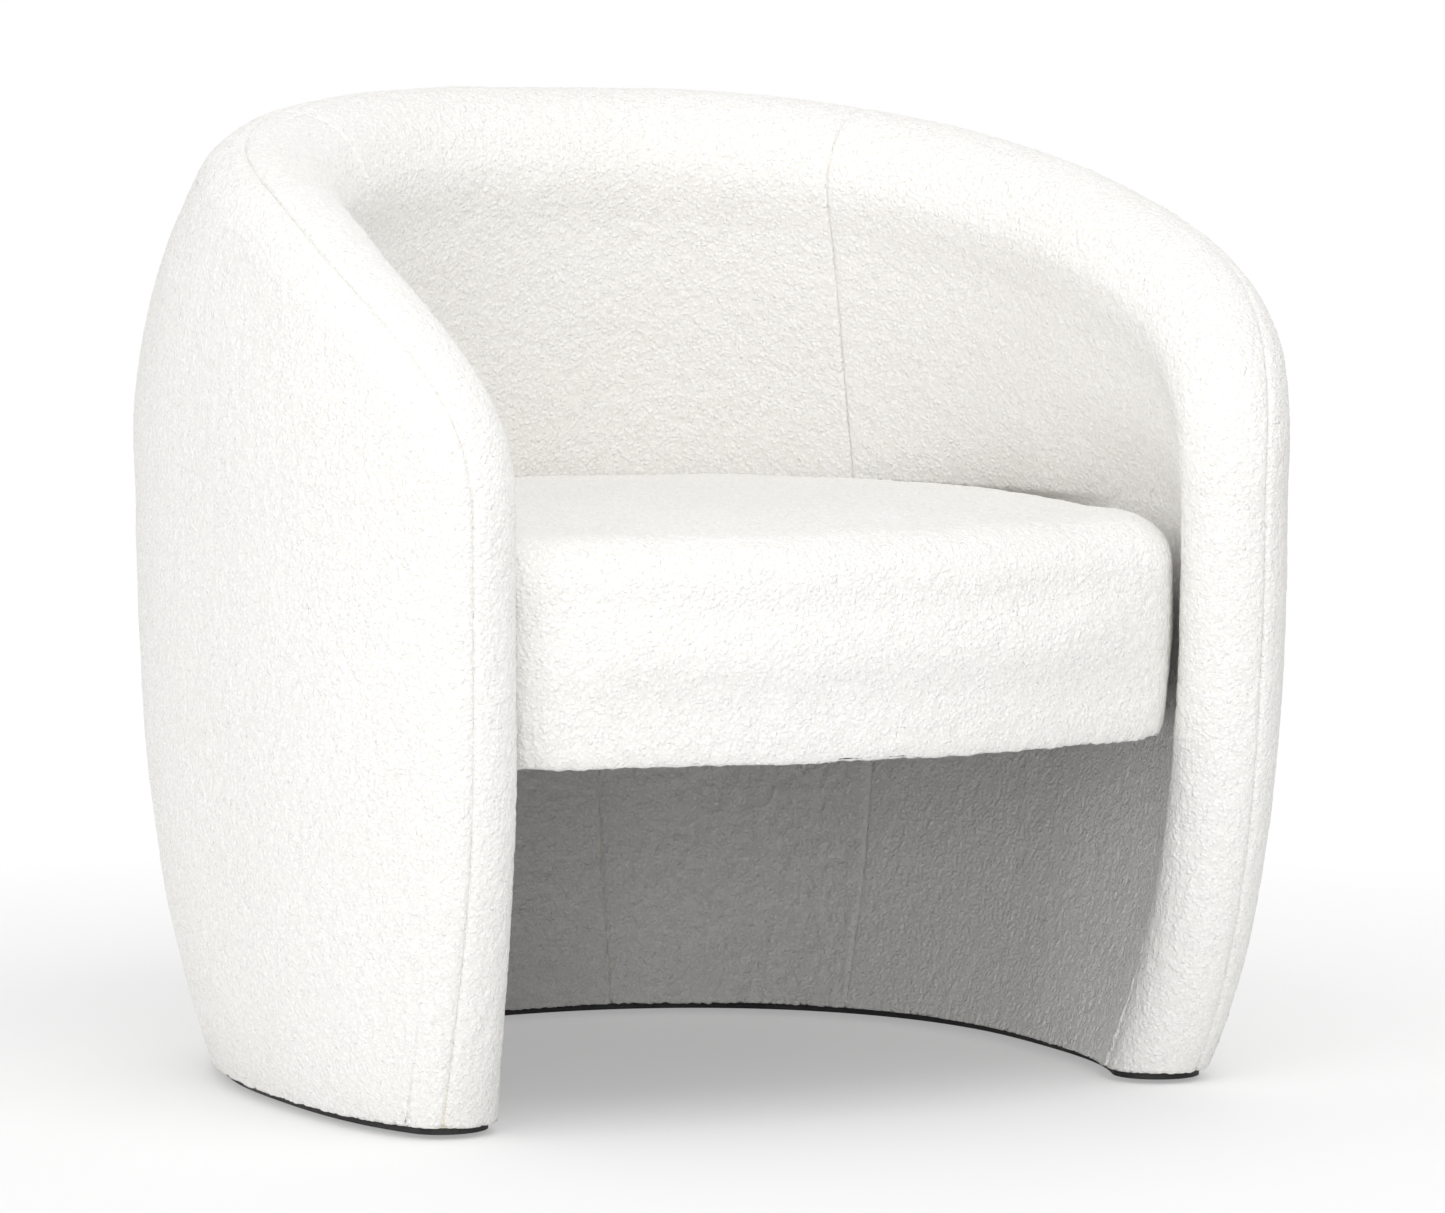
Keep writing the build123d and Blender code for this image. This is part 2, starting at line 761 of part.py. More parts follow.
wadding_face = cover_thickness + clearance
rail_face = wadding_face + seat_padding + clearance
rail_inside = rail_face + seat_rail_thickness
rail_bottom = seat_bottom + cover_thickness + clearance
rail_top = rail_bottom + seat_rail_height
strap_bottom = rail_top + clearance
cross_bottom = strap_bottom + strap_thickness + clearance
insulator_bottom = cross_bottom + strap_thickness + clearance
foam_bottom = insulator_bottom + insulator_thickness + clearance
seat_seam = seat_top - seat_edge_radius * (1 - math.cos(math.radians(45)))


def seat_cover():
    """Whole seat cover: top, sides and the hem turned under the rails."""
    shell = seat_form(0, seat_bottom) - seat_form(cover_thickness, seat_bottom + cover_thickness)
    return shell - prism(seat_hem, seat_bottom - cover_thickness, rail_bottom)


def seat_wadding():
    """Soft layer over the rails and the foam."""
    return (seat_form(wadding_face, rail_bottom)
            - seat_form(wadding_face + seat_padding, rail_bottom - seat_padding))


def seat_frame():
    """Closed ring of seat rails, before it is parted into rail and hoop."""
    return (prism(rail_face, rail_bottom, rail_top)
            - prism(rail_inside, rail_bottom - cover_thickness, rail_top + cover_thickness))


def corner_blocks():
    """Glue blocks behind the two joints of the seat frame."""
    inside = prism(rail_inside + clearance, rail_bottom, rail_top)
    edge = inside.bounding_box().max.X
    parts = []
    for side in (-1, 1):
        near, far = sorted((side * (edge - corner_block_thickness), side * huge))
        piece = inside & block(near, far, joint_y - corner_block_length / 2,
                               joint_y + corner_block_length / 2,
                               rail_bottom + cover_thickness, rail_top - cover_thickness)
        parts.append(solid_of(piece))
    return Compound(parts)


def straps(along_y):
    """Elastic webbing stapled over the rails, one direction at a time."""
    bottom = strap_bottom if along_y else cross_bottom
    area = prism(rail_face + strap_end, bottom, bottom + strap_thickness)
    box = area.bounding_box()
    count = long_strap_count if along_y else cross_strap_count
    low, high = (box.min.X, box.max.X) if along_y else (box.min.Y, box.max.Y)
    pitch = (high - low) / (count + strap_margin)
    parts = []
    for k in range(count):
        centre = (low + high) / 2 + pitch * (k - (count - 1) / 2)
        near, far = centre - strap_width / 2, centre + strap_width / 2
        span = (near, far, -huge, huge) if along_y else (-huge, huge, near, far)
        parts.append(solid_of(area & block(*span, bottom - 1, bottom + strap_thickness + 1)))
    return Compound(parts)


# ---------------------------------------------------------------- seat mounting
def mounts():
    """Place along the wall of each bolt, midway between two ribs."""
    ribs = rib_arcs()
    arcs = ((ribs["corner"] + ribs["seam"]) / 2, (ribs["side"] + ribs["arm"]) / 2)
    return [side * arc for arc in arcs for side in (-1, 1)]


def bore(arc, radius, start, end):
    """Cylinder along a bolt's axis, between two distances out from the middle of the wall."""
    frame = wall_frame(arc, mount_height)
    axis = Plane(origin=frame.origin + frame.x_dir * start, z_dir=frame.x_dir)
    return Solid.make_cylinder(radius, end - start, axis)


def wall_x(side, depth):
    """Distance out from the middle of the wall at the height of the bolts."""
    return side * (half_wall(mount_height) - depth) * across(0, mount_height).length


def seat_x(arc, recess):
    """The same for a layer of the seat's side."""
    frame = wall_frame(arc, mount_height)
    point = seat_side(arc, recess)
    return (Vector(point.X, point.Y, mount_height) - frame.origin).dot(frame.x_dir)


def pierced(shape, radius):
    """A layer with a hole for each bolt that meets it."""
    for arc in mounts():
        shape = shape - bore(arc, radius, -3 * rim_thickness, wall_x(OUTSIDE, outer_core_face) / 2)
    return solid_of(shape)


def disc_stand_off(radius):
    """How far a flat disc stays off the curved, leaning side of a layer."""
    hollow = radius ** 2 / (2 * (half_width - half_wall(mount_height)))
    return clearance + hollow + radius * inset(mount_height)[1]


def mount_block(arc):
    """Hardwood block between the skins, under the seat ring, counterbored for its tee nut."""
    rings = []
    top = seat_ring_height - clearance
    for z in (top - mount_block_height, top):
        first, last = arc - mount_block_width / 2, arc + mount_block_width / 2
        rings.append(loop(level_side(OUTSIDE, outer_core_face, z, first, last, 6),
                          level_side(INSIDE, inner_core_face, z, last, first, 6)))
    shape = Solid.make_loft(rings, ruled=True)
    flange = tee_nut_seat() - clearance
    shape -= bore(arc, bolt_diameter / 2 + clearance, -huge, huge)
    shape -= bore(arc, tee_nut_diameter / 2 + clearance, flange - tee_nut_length, huge)
    shape -= bore(arc, tee_nut_flange / 2 + clearance, flange, huge)
    return solid_of(shape)


def tee_nut_seat():
    """Distance out from the middle of the wall to the inner face of a tee nut's flange."""
    return (wall_x(OUTSIDE, outer_core_face) - tee_nut_flange_thickness
            - disc_stand_off(tee_nut_flange / 2))


def tee_nut(arc):
    """Tee nut, driven into the block from outside."""
    flange = tee_nut_seat()
    nut = bore(arc, tee_nut_flange / 2, flange, flange + tee_nut_flange_thickness)
    nut += bore(arc, tee_nut_diameter / 2, flange - tee_nut_length, flange)
    nut -= bore(arc, bolt_diameter / 2 + clearance / 2, -huge, huge)
    return solid_of(nut)


def spacer(arc):
    """Tube that carries the clamp load from rail to skin through the soft layers."""
    start = seat_x(arc, rail_face) + clearance
    end = wall_x(INSIDE, inner_skin_face) - disc_stand_off(spacer_diameter / 2)
    tube = bore(arc, spacer_diameter / 2, start, end)
    return solid_of(tube - bore(arc, bolt_diameter / 2 + clearance, -huge, huge))


def washer(arc):
    """Plain washer inside the rail."""
    end = seat_x(arc, rail_inside) - clearance
    disc = bore(arc, washer_diameter / 2, end - washer_thickness, end)
    return solid_of(disc - bore(arc, bolt_diameter / 2 + clearance / 2, -huge, huge))


def bolt(arc):
    """Hexagon bolt from inside the seat frame into the tee nut."""
    seat = seat_x(arc, rail_inside) - washer_thickness - 2 * clearance
    frame = wall_frame(arc, mount_height)
    axis = Plane(origin=frame.origin + frame.x_dir * (seat - bolt_head_height), z_dir=frame.x_dir)
    head = extrude(axis * RegularPolygon(bolt_head / 2, 6), bolt_head_height)
    shank = bore(arc, bolt_diameter / 2, seat, tee_nut_seat() + tee_nut_flange_thickness)
    return solid_of(head + shank)


# ------------------------------------------------------------------------- nodes
def build():
    """Every piece, by name."""
    hole = spacer_diameter / 2 + clearance
    thin_hole = bolt_diameter / 2 + clearance
    nodes = {
        "outer_cover": outer_cover(),
        "inner_cover_left": pierced(inner_cover(LEFT), hole),
        "inner_cover_right": pierced(inner_cover(RIGHT), hole),
        "inner_cover_back": solid_of(inner_cover(BACK)
                                     & block(-huge, huge, -huge, huge, lining_top, huge)),
        "lining_left": pierced(lining(-panel_seam_arc, -lining_seam_arc), hole),
        "lining_middle": lining(-lining_seam_arc, lining_seam_arc),
        "lining_right": pierced(lining(lining_seam_arc, panel_seam_arc), hole),
        "rim_roll_foam": rim_roll(),
        "outer_foam": band(WHOLE, OUTSIDE, cover_back, outer_foam_back),
        "inner_foam": pierced(band(WHOLE, INSIDE, cover_back, inner_foam_back), hole),
        "base_ring": base_ring(),
        "seat_ring": seat_ring(),
        "plinth": plinth(),
        "plinth_screws": plinth_screws(),
        "glides": glides(),
    }
    for name, runs in (("left", LEFT), ("back", BACK), ("right", RIGHT)):
        outer = band(runs, OUTSIDE, outer_skin_face, outer_skin_face + skin_thickness)
        inner = band(runs, INSIDE, inner_skin_face, inner_skin_face + skin_thickness)
        nodes[f"outer_skin_{name}"] = outer
        nodes[f"inner_skin_{name}"] = pierced(inner, thin_hole)
        nodes[f"cap_rail_{name}"] = cap_rail(runs)
    rail_cut = over_rail()
    for name, arc in signed_ribs().items():
        nodes[name] = rib(arc, rail_cut)

    cover = pierced(seat_cover(), hole)
    frame = pierced(seat_frame(), thin_hole)
    nodes["seat_cover_top"] = solid_of(cover & block(-huge, huge, -huge, huge, seat_seam, huge))
    nodes["seat_cover_band"] = solid_of(cover & block(-huge, huge, -huge, huge, 0, seat_seam))
    nodes["seat_wadding"] = pierced(seat_wadding(), hole)
    nodes["seat_foam"] = seat_form(rail_face, foam_bottom)
    nodes["seat_insulator"] = prism(rail_face, insulator_bottom,
                                    insulator_bottom + insulator_thickness)
    nodes["seat_webbing_long"] = straps(True)
    nodes["seat_webbing_cross"] = straps(False)
    nodes["seat_front_rail"] = solid_of(frame & block(-huge, huge, -huge, joint_y, 0, huge))
    nodes["seat_hoop"] = solid_of(frame & block(-huge, huge, joint_y, huge, 0, huge))
    nodes["seat_corner_blocks"] = corner_blocks()
    nodes["seat_dust_cover"] = prism(seat_hem / 3, seat_bottom - clearance - dust_cover_thickness,
                                     seat_bottom - clearance)
    nodes["mount_blocks"] = Compound([mount_block(arc) for arc in mounts()])
    nodes["mount_tee_nuts"] = Compound([tee_nut(arc) for arc in mounts()])
    nodes["mount_spacers"] = Compound([spacer(arc) for arc in mounts()])
    nodes["mount_washers"] = Compound([washer(arc) for arc in mounts()])
    nodes["mount_bolts"] = Compound([bolt(arc) for arc in mounts()])
    return nodes


os.makedirs("parts", exist_ok=True)
for node, shape in build().items():
    export_step(shape, f"parts/{node}.step")
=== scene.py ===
"""Ivory boucle barrel armchair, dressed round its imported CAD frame. Metres, the sitter faces -Y."""
import math

import bmesh
import bpy
import numpy as np
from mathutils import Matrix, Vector
from mathutils.kdtree import KDTree


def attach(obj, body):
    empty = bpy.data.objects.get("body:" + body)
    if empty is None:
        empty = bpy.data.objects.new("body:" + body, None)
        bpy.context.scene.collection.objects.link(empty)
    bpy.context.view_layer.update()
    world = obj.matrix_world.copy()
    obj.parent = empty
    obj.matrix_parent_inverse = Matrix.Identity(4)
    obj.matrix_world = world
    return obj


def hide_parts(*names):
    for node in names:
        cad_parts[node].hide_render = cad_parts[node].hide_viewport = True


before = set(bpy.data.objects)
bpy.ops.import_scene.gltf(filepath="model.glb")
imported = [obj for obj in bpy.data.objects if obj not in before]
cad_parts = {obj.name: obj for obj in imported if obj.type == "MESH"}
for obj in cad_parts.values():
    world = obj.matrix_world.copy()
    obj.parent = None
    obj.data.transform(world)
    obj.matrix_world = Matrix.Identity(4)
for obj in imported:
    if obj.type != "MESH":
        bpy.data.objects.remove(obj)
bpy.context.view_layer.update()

MM = 0.001

# ------------------------------------------------------------ the wall of the shell, in millimetres
OVERALL_WIDTH, OVERALL_DEPTH, OVERALL_HEIGHT = 806.0, 718.0, 722.0
WIDEST_TO_BACK = 415.0             # from the widest line of the plan to the back
WIDEST_SHARE = 0.6205              # height at which the barrel is fullest, of the whole height
BACK_ROUNDNESS, FRONT_ROUNDNESS = 2.10, 2.86   # superellipse powers behind the widest line, before it
FRONT_OVERRUN = 98.0               # the front superellipse runs on past the arm fronts
ARM_THICKNESS, RIM_THICKNESS = 74.0, 120.0     # wall at the arms, and roll at the top of the back
RIM_SWELL = 1.5                    # how gently the wall starts to thicken above the arms
FOOT_INSET, FOOT_CURVE = 58.0, 2.86            # how far the wall draws in at the floor, and how late
RIM_LEAN, RIM_CURVE = 0.474, 2.05  # how far it leans in at the rim, of its height above the fullest
ARM_FRONT_HEIGHT = 423.0           # height of the foremost point of the arm
ARM_FRONT_SETBACK, ARM_FRONT_CURVE = 57.0, 3.5   # arm front at the floor, behind that point
RIM_RISE, RIM_RUN = 2.88, 1.20     # shape of the rim from arm to back, seen from the side
SHELL_BOTTOM = 8.4                 # lower edge of the covers
SEAM_ANGLE = 48.0                  # rim seam, from the nose of the roll to the outside
PANEL_SEAM, LINING_SEAM = 340.0, 84.0          # upright seams, along the wall from the middle
FOOT_RUN = 110.0                   # level run of the first section behind the foot
SQUARE_RUN = 75.0                  # how far a section keeps square to the rim
SEAT_TOP, SEAT_BOTTOM = 416.0, 260.0
LINING_TOP = 302.0                 # seam between the inner cover and the lining, behind the seat

WIDEST_HEIGHT = WIDEST_SHARE * OVERALL_HEIGHT
RIM_INSET = RIM_LEAN * (OVERALL_HEIGHT - WIDEST_HEIGHT)
SPINE_HEIGHT = OVERALL_HEIGHT - RIM_THICKNESS / 2
CENTRE_Y = OVERALL_DEPTH / 2 - WIDEST_TO_BACK
ARM_FRONT_Y = WIDEST_TO_BACK - OVERALL_DEPTH + ARM_THICKNESS / 2
FRONT_LENGTH = FRONT_OVERRUN - ARM_FRONT_Y

BACK_FILL, BACK_FILL_FADE = 28.0, 1.5   # foam in the hollow under the roll, and its fading
PAD_LEAN, PAD_BLEND = 0.19, 7.0         # lean of the padding under the roll, and how softly it starts
PAD_FOOT, PAD_FULL = 384.0, 416.0       # where it starts behind the seat, and where it is full
PAD_FADE = 1.6                          # how soon it is full from the arm fronts towards the back
PAD_TURN, PAD_TURN_SPAN = 20.0, 50.0    # degrees round the roll where it starts, and over how many
TINY, TINY_TURN = 0.01, 0.002           # steps that slopes are measured over


def inset(z):
    """How far the wall has drawn in at height z, and its slope."""
    low = np.clip((WIDEST_HEIGHT - z) / WIDEST_HEIGHT, 0, None)
    span = OVERALL_HEIGHT - WIDEST_HEIGHT
    high = np.clip((z - WIDEST_HEIGHT) / span, 0, None)
    shift = -FOOT_INSET * low ** FOOT_CURVE - RIM_INSET * high ** RIM_CURVE
    slope = (FOOT_INSET * FOOT_CURVE * low ** (FOOT_CURVE - 1) / WIDEST_HEIGHT
             - RIM_INSET * RIM_CURVE * high ** (RIM_CURVE - 1) / span)
    return shift, slope


def half_wall(z):
    """Half the thickness of the wall at height z."""
    part = np.clip((z - ARM_FRONT_HEIGHT) / (SPINE_HEIGHT - ARM_FRONT_HEIGHT), 0, 1)
    return (ARM_THICKNESS + (RIM_THICKNESS - ARM_THICKNESS) * part ** RIM_SWELL) / 2


HEIGHTS = np.arange(0, int(SPINE_HEIGHT), dtype=float)
FULLEST = float(np.max(inset(HEIGHTS)[0] + half_wall(HEIGHTS)))
HALF_WIDTH = OVERALL_WIDTH / 2 - FULLEST
BACK_LENGTH = WIDEST_TO_BACK - FULLEST
TURN = np.linspace(0.0, math.pi, 3600)
REAR = np.cos(TURN) >= 0
POWER = np.where(REAR, 2 / BACK_ROUNDNESS, 2 / FRONT_ROUNDNESS)
PLAN_X = HALF_WIDTH * np.abs(np.sin(TURN)) ** POWER
PLAN_Y = (np.where(REAR, BACK_LENGTH, FRONT_LENGTH) * np.sign(np.cos(TURN))
          * np.abs(np.cos(TURN)) ** POWER)
PLAN_RUN = np.concatenate([[0.0], np.cumsum(np.hypot(np.diff(PLAN_X), np.diff(PLAN_Y)))])


def arc_at(y):
    """Length along the plan from the middle of the back to the point at y."""
    return np.interp(-y, -PLAN_Y, PLAN_RUN)


def plan_at(arc):
    """Plan point of the middle surface and its outward normal."""
    x = np.copysign(np.interp(np.abs(arc), PLAN_RUN, PLAN_X), arc)
    y = np.interp(np.abs(arc), PLAN_RUN, PLAN_Y)
    power = np.where(y >= 0, BACK_ROUNDNESS, FRONT_ROUNDNESS)
    reach = np.where(y >= 0, BACK_LENGTH, FRONT_LENGTH)
    nx = np.copysign(np.abs(x / HALF_WIDTH) ** (power - 1), x) / HALF_WIDTH
    ny = np.copysign(np.abs(y / reach) ** (power - 1), y) / reach
    size = np.hypot(nx, ny)
    return x, y, nx / size, ny / size


def middle(arc, z):
    """Points of the middle surface."""
    x, y, nx, ny = plan_at(arc)
    shift = inset(z)[0]
    return np.stack([x + nx * shift, y + ny * shift + CENTRE_Y, z + 0 * x], -1)


def across(arc, z):
    """Outward direction through the wall."""
    _, _, nx, ny = plan_at(arc)
    slope = inset(z)[1]
    stretch = np.sqrt(1 + slope * slope)
    low = z < WIDEST_HEIGHT
    level = np.where(low, stretch, 1 / stretch)
    rise = np.where(low, 0.0, -slope / stretch)
    return np.stack([nx * level, ny * level, rise], -1)


def rim_profile(turn):
    """Side view of the rim's centre line."""
    rise = np.sin(turn) ** (2 / RIM_RISE)
    run = 1 - np.cos(turn) ** (2 / RIM_RUN)
    return (ARM_FRONT_Y + (BACK_LENGTH - ARM_FRONT_Y) * run,
            ARM_FRONT_HEIGHT + (SPINE_HEIGHT - ARM_FRONT_HEIGHT) * rise)


def rim_turn_at(arc):
    """Turn of the rim's centre line over a place on the plan."""
    run = (plan_at(arc)[1] - ARM_FRONT_Y) / (BACK_LENGTH - ARM_FRONT_Y)
    return np.arccos(np.clip(1 - run, 0, 1) ** (RIM_RUN / 2))


def arm_profile(z):
    """Side view of the arm front's centre line."""
    fall = (ARM_FRONT_HEIGHT - z) / ARM_FRONT_HEIGHT
    return ARM_FRONT_Y + ARM_FRONT_SETBACK * fall ** ARM_FRONT_CURVE


RIM_TURNS = np.linspace(0.0, float(rim_turn_at(PANEL_SEAM)), 2400)
RIM_POINTS = middle(arc_at(rim_profile(RIM_TURNS)[0]), rim_profile(RIM_TURNS)[1])
RIM_STEPS = np.linalg.norm(np.diff(RIM_POINTS, axis=0), axis=1)
RIM_LENGTHS = np.concatenate([[0.0], np.cumsum(RIM_STEPS)])
RIM_LENGTH = float(RIM_LENGTHS[-1])
ARM_LENGTH = ARM_FRONT_HEIGHT - SHELL_BOTTOM
FOOT_ARC = float(arc_at(arm_profile(SHELL_BOTTOM))) - FOOT_RUN


def unit(v):
    """Vectors of length one; a vector of no length stays as it is."""
    return v / np.maximum(np.linalg.norm(v, axis=-1, keepdims=True), 1e-9)


def pad_share(rim_height):
    """How much of the inside padding there is under a rim of this height."""
    return np.clip(PAD_FADE * (rim_height - PAD_FULL) / (SPINE_HEIGHT - PAD_FULL), 0, 1)


def curve_weights(t):
    """Weights of the four points of a cubic curve."""
    return [(1 - t) ** 3, 3 * t * (1 - t) ** 2, 3 * t * t * (1 - t), t ** 3]


class Fan:
    """Lines down the wall from many places along the rim, each from the rim to the floor.

    A place is the run along the rim's centre line in millimetres from the middle of the
    back, negative to the left.
    """

    STEPS = 90

    def __init__(self, places):
        side = np.where(places < 0, -1.0, 1.0)
        run = np.abs(places)
        rim_end = PANEL_SEAM + RIM_LENGTH
        on_back, on_arm = run <= PANEL_SEAM, run > rim_end
        gone = np.clip(rim_end - run, 0, RIM_LENGTH)
        turn = np.interp(gone, RIM_LENGTHS, RIM_TURNS)
        y, z = rim_profile(turn)
        arc = arc_at(y)
        y2, z2 = rim_profile(turn + TINY_TURN)
        along = unit(middle(arc_at(y2), z2) - middle(arc, z))
        normal = unit(across(arc, z))
        inward = np.cross(normal, along)
        inward = np.where(inward[:, 2:] > 0, -inward, inward)
        flat = (middle(arc + TINY, z) - middle(arc, z)) / TINY
        tall = (middle(arc, z + TINY) - middle(arc, z)) / TINY
        size = np.linalg.norm(flat, axis=-1)
        square = np.sum((inward - tall * inward[:, 2:]) * flat, -1) / size ** 2
        plumb = (gone / RIM_LENGTH) ** 2
        head_a = square * (1 - plumb)
        head_z = inward[:, 2] * (1 - plumb) - plumb
        arm_z = np.clip(ARM_FRONT_HEIGHT - (run - rim_end), SHELL_BOTTOM, None)
        left_over = np.where(on_arm, arm_z - SHELL_BOTTOM, ARM_LENGTH + gone)
        share = left_over / (ARM_LENGTH + RIM_LENGTH)
        foot = FOOT_ARC + (PANEL_SEAM - FOOT_ARC) * share
        back_z = rim_profile(rim_turn_at(run))[1]
        arc = np.where(on_back, run, np.where(on_arm, arc_at(arm_profile(arm_z)), arc))
        z = np.where(on_back, back_z, np.where(on_arm, arm_z, z))
        head_a = np.where(on_back, 0.0, np.where(on_arm, -1.0, head_a))
        head_z = np.where(on_back, -1.0, np.where(on_arm, 0.0, head_z))
        foot = np.where(on_back, run, foot)
        reach = np.minimum(np.hypot(arc - foot, z - SHELL_BOTTOM) / 3, SQUARE_RUN)
        t = np.linspace(0, 1, self.STEPS + 1)[:, None]
        weights = curve_weights(t)
        arcs = [arc, arc + head_a * reach, foot, foot]
        tall_z = SHELL_BOTTOM + (z - SHELL_BOTTOM) / 3
        zs = [z, z + head_z * reach, tall_z, SHELL_BOTTOM + 0 * z]
        self.arcs = sum(w * a for w, a in zip(weights, arcs)) * side
        self.zs = sum(w * a for w, a in zip(weights, zs))
        points = middle(self.arcs, self.zs)
        steps = np.linalg.norm(np.diff(points, axis=0), axis=-1)
        self.runs = np.concatenate([np.zeros((1, len(places))), np.cumsum(steps, 0)])
        self.length = self.runs[-1]
        self.centre = points[0]
        self.out = unit(across(self.arcs[0], self.zs[0]))
        ahead = middle((arc + head_a * TINY) * side, z + head_z * TINY)
        self.nose = unit(self.centre - ahead)
        self.half = half_wall(self.zs[0])

    def down(self, side, runs, depth=0.0):
        """Points on one face of the wall at distances down each line, one row per distance."""
        def at_runs(values):
            return np.stack([np.interp(runs[:, k], self.runs[:, k], values[:, k])
                             for k in range(self.runs.shape[1])], 1)

        arcs, zs = at_runs(self.arcs), at_runs(self.zs)
        reach = half_wall(zs) - depth
        if side < 0:
            reach = reach + self.fill(zs)
        return middle(arcs, zs) + across(arcs, zs) * (side * reach)[..., None]

    def run_to(self, z):
        """Distance down each line to the height z."""
        columns = range(self.runs.shape[1])
        return np.array([np.interp(-z, -self.zs[:, k], self.runs[:, k]) for k in columns])

    def fill(self, z):
        """How far the foam fills out the hollow of the inside between the seat and the roll."""
        top = self.zs[0]
        tall = np.clip((top - SEAT_TOP) / (SPINE_HEIGHT - SEAT_TOP), 0, None)
        part = np.clip((z - SEAT_TOP) / np.maximum(top - SEAT_TOP, 1.0), 0, 1)
        return BACK_FILL * tall ** BACK_FILL_FADE * np.sin(math.pi * part) ** 2

    def filled(self, points, share):
        """Inside points moved out to the padding that runs from the roll straight to the seat."""
        out = unit(self.out * (1.0, 1.0, 0.0))
        away = np.sum((points - self.centre) * out, -1)
        fall = self.centre[:, 2] - points[..., 2]
        line = (-self.half + PAD_LEAN * np.clip(fall, 0, None)
                + np.clip(-fall, 0, None) ** 2 / self.half)
        behind = away - line
        push = (behind + np.sqrt(behind ** 2 + PAD_BLEND ** 2)) / 2
        foot = np.clip((points[..., 2] - PAD_FOOT) / (PAD_FULL - PAD_FOOT), 0, 1)
        push = push * (1 - np.sqrt(1 - foot ** 2)) * pad_share(self.centre[:, 2]) * share
        return points - out * push[..., None]

    def round(self, angle, depth=0.0):
        """Points on the roll at one angle: 90 outside, 0 the nose, -90 inside."""
        turn = np.radians(angle)
        radius = (self.half - depth)[:, None]
        return self.centre + radius * (self.nose * np.cos(turn)[:, None]
                                       + self.out * np.sin(turn)[:, None])


GRAIN = 2.8                       # spacing of the mesh of the cloth
EDGE = np.array([0.0, 0.5, 1.1, 1.9, 3.0, 4.6])   # finer rows beside a seam
HEM = np.array([1.2, 3.5, 8.0])   # steps of the cloth turned in at an edge
CALM_RUN = 2.2                    # how far the loops lie flat beside a seam
FAR = 1e3                         # a run from any seam, where there is none


def spaced(first, last, fine_first, fine_last):
    """Distances from first to last at the grain's spacing, finer at the ends that are seams."""
    head = first + EDGE if fine_first else np.array([first])
    tail = last - EDGE[::-1] if fine_last else np.array([last])
    count = max(2, int(round((tail[0] - head[-1]) / GRAIN)))
    return np.concatenate([head, np.linspace(head[-1], tail[0], count + 1)[1:-1], tail])


def grid_normals(points):
    """Unit normals of a grid of points, by its rows and columns."""
    return unit(np.cross(np.gradient(points, axis=1), np.gradient(points, axis=0)))


def grid_mesh(name, points, flip=False):
    """Mesh object from a grid of points in millimetres."""
    rows, columns = points.shape[:2]
    mesh = bpy.data.meshes.new(name)
    index = np.arange(rows * columns).reshape(rows, columns)
    quads = np.stack([index[:-1, :-1], index[:-1, 1:], index[1:, 1:], index[1:, :-1]], -1)
    quads = quads.reshape(-1, 4)
    if flip:
        quads = quads[:, ::-1]
    mesh.vertices.add(rows * columns)
    mesh.vertices.foreach_set("co", (points.reshape(-1, 3) * MM).astype(np.float32).ravel())
    mesh.loops.add(quads.size)
    mesh.loops.foreach_set("vertex_index", quads.astype(np.int32).ravel())
    mesh.polygons.add(len(quads))
    mesh.polygons.foreach_set("loop_start", np.arange(0, quads.size, 4, dtype=np.int32))
    mesh.update(calc_edges=True)
    mesh.validate()
    mesh.shade_smooth()
    piece = bpy.data.objects.new(name, mesh)
    bpy.context.scene.collection.objects.link(piece)
    return piece


# ------------------------------------------------------------ boucle relief, at the vertices
LOOPS, CURLS = (4.6, 11), (8.5, 31)               # size in millimetres and salt of each kind of nub
LOOP_HEIGHT, CURL_HEIGHT, MEAN_HEIGHT = 0.95, 0.55, 0.8
LONG_WAVES, SHORT_WAVES = (60.0, 51), (22.0, 61)  # size and salt of the unevenness
LONG_HEIGHT, SHORT_HEIGHT = 0.7, 0.3
LINING_LOOPS = 2.6                                # the lining's loops stand up this much more


def hashed(ix, iy, iz, salt):
    """Repeatable random numbers, 0 to 1, for whole-number cells."""
    h = (ix.astype(np.uint32) * np.uint32(73856093) ^ iy.astype(np.uint32) * np.uint32(19349663)
         ^ iz.astype(np.uint32) * np.uint32(83492791) ^ np.uint32(salt * 2654435 + 97))
    h = (h ^ (h >> np.uint32(16))) * np.uint32(2246822519)
    h = (h ^ (h >> np.uint32(13))) * np.uint32(3266489917)
    return (h ^ (h >> np.uint32(16))).astype(np.float64) / 4294967295.0


def waves(points, size, salt):
    """Smooth noise, -1 to 1, with features of about this size."""
    place = points / size
    base = np.floor(place)
    part = place - base
    part = part * part * (3 - 2 * part)
    cell = base.astype(np.int64)
    total = np.zeros(len(points))
    for corner in range(8):
        step = np.array([corner & 1, corner >> 1 & 1, corner >> 2 & 1])
        weight = np.prod(np.where(step == 1, part, 1 - part), axis=1)
        ix, iy, iz = (cell + step + 4096).T
        total += weight * hashed(ix, iy, iz, salt)
    return total * 2 - 1


def nubs(points, size, salt):
    """Height, 0 to about 1, of a cloth covered in small round loops about this far apart."""
    cell = np.floor(points / size).astype(np.int64)
    height = np.zeros(len(points))
    for dx in (-1, 0, 1):
        for dy in (-1, 0, 1):
            for dz in (-1, 0, 1):
                near = cell + (dx, dy, dz)
                ix, iy, iz = (near + 4096).T
                jitter = np.stack([hashed(ix, iy, iz, salt + k) for k in range(3)], 1)
                wide = (0.55 + 0.35 * hashed(ix, iy, iz, salt + 3)) * size
                gap = np.linalg.norm(points - (near + jitter) * size, axis=1) / wide
                bump = np.sqrt(np.clip(1 - gap * gap, 0, None))
                height = np.maximum(height, bump * (0.6 + 0.4 * wide / size))
    return height


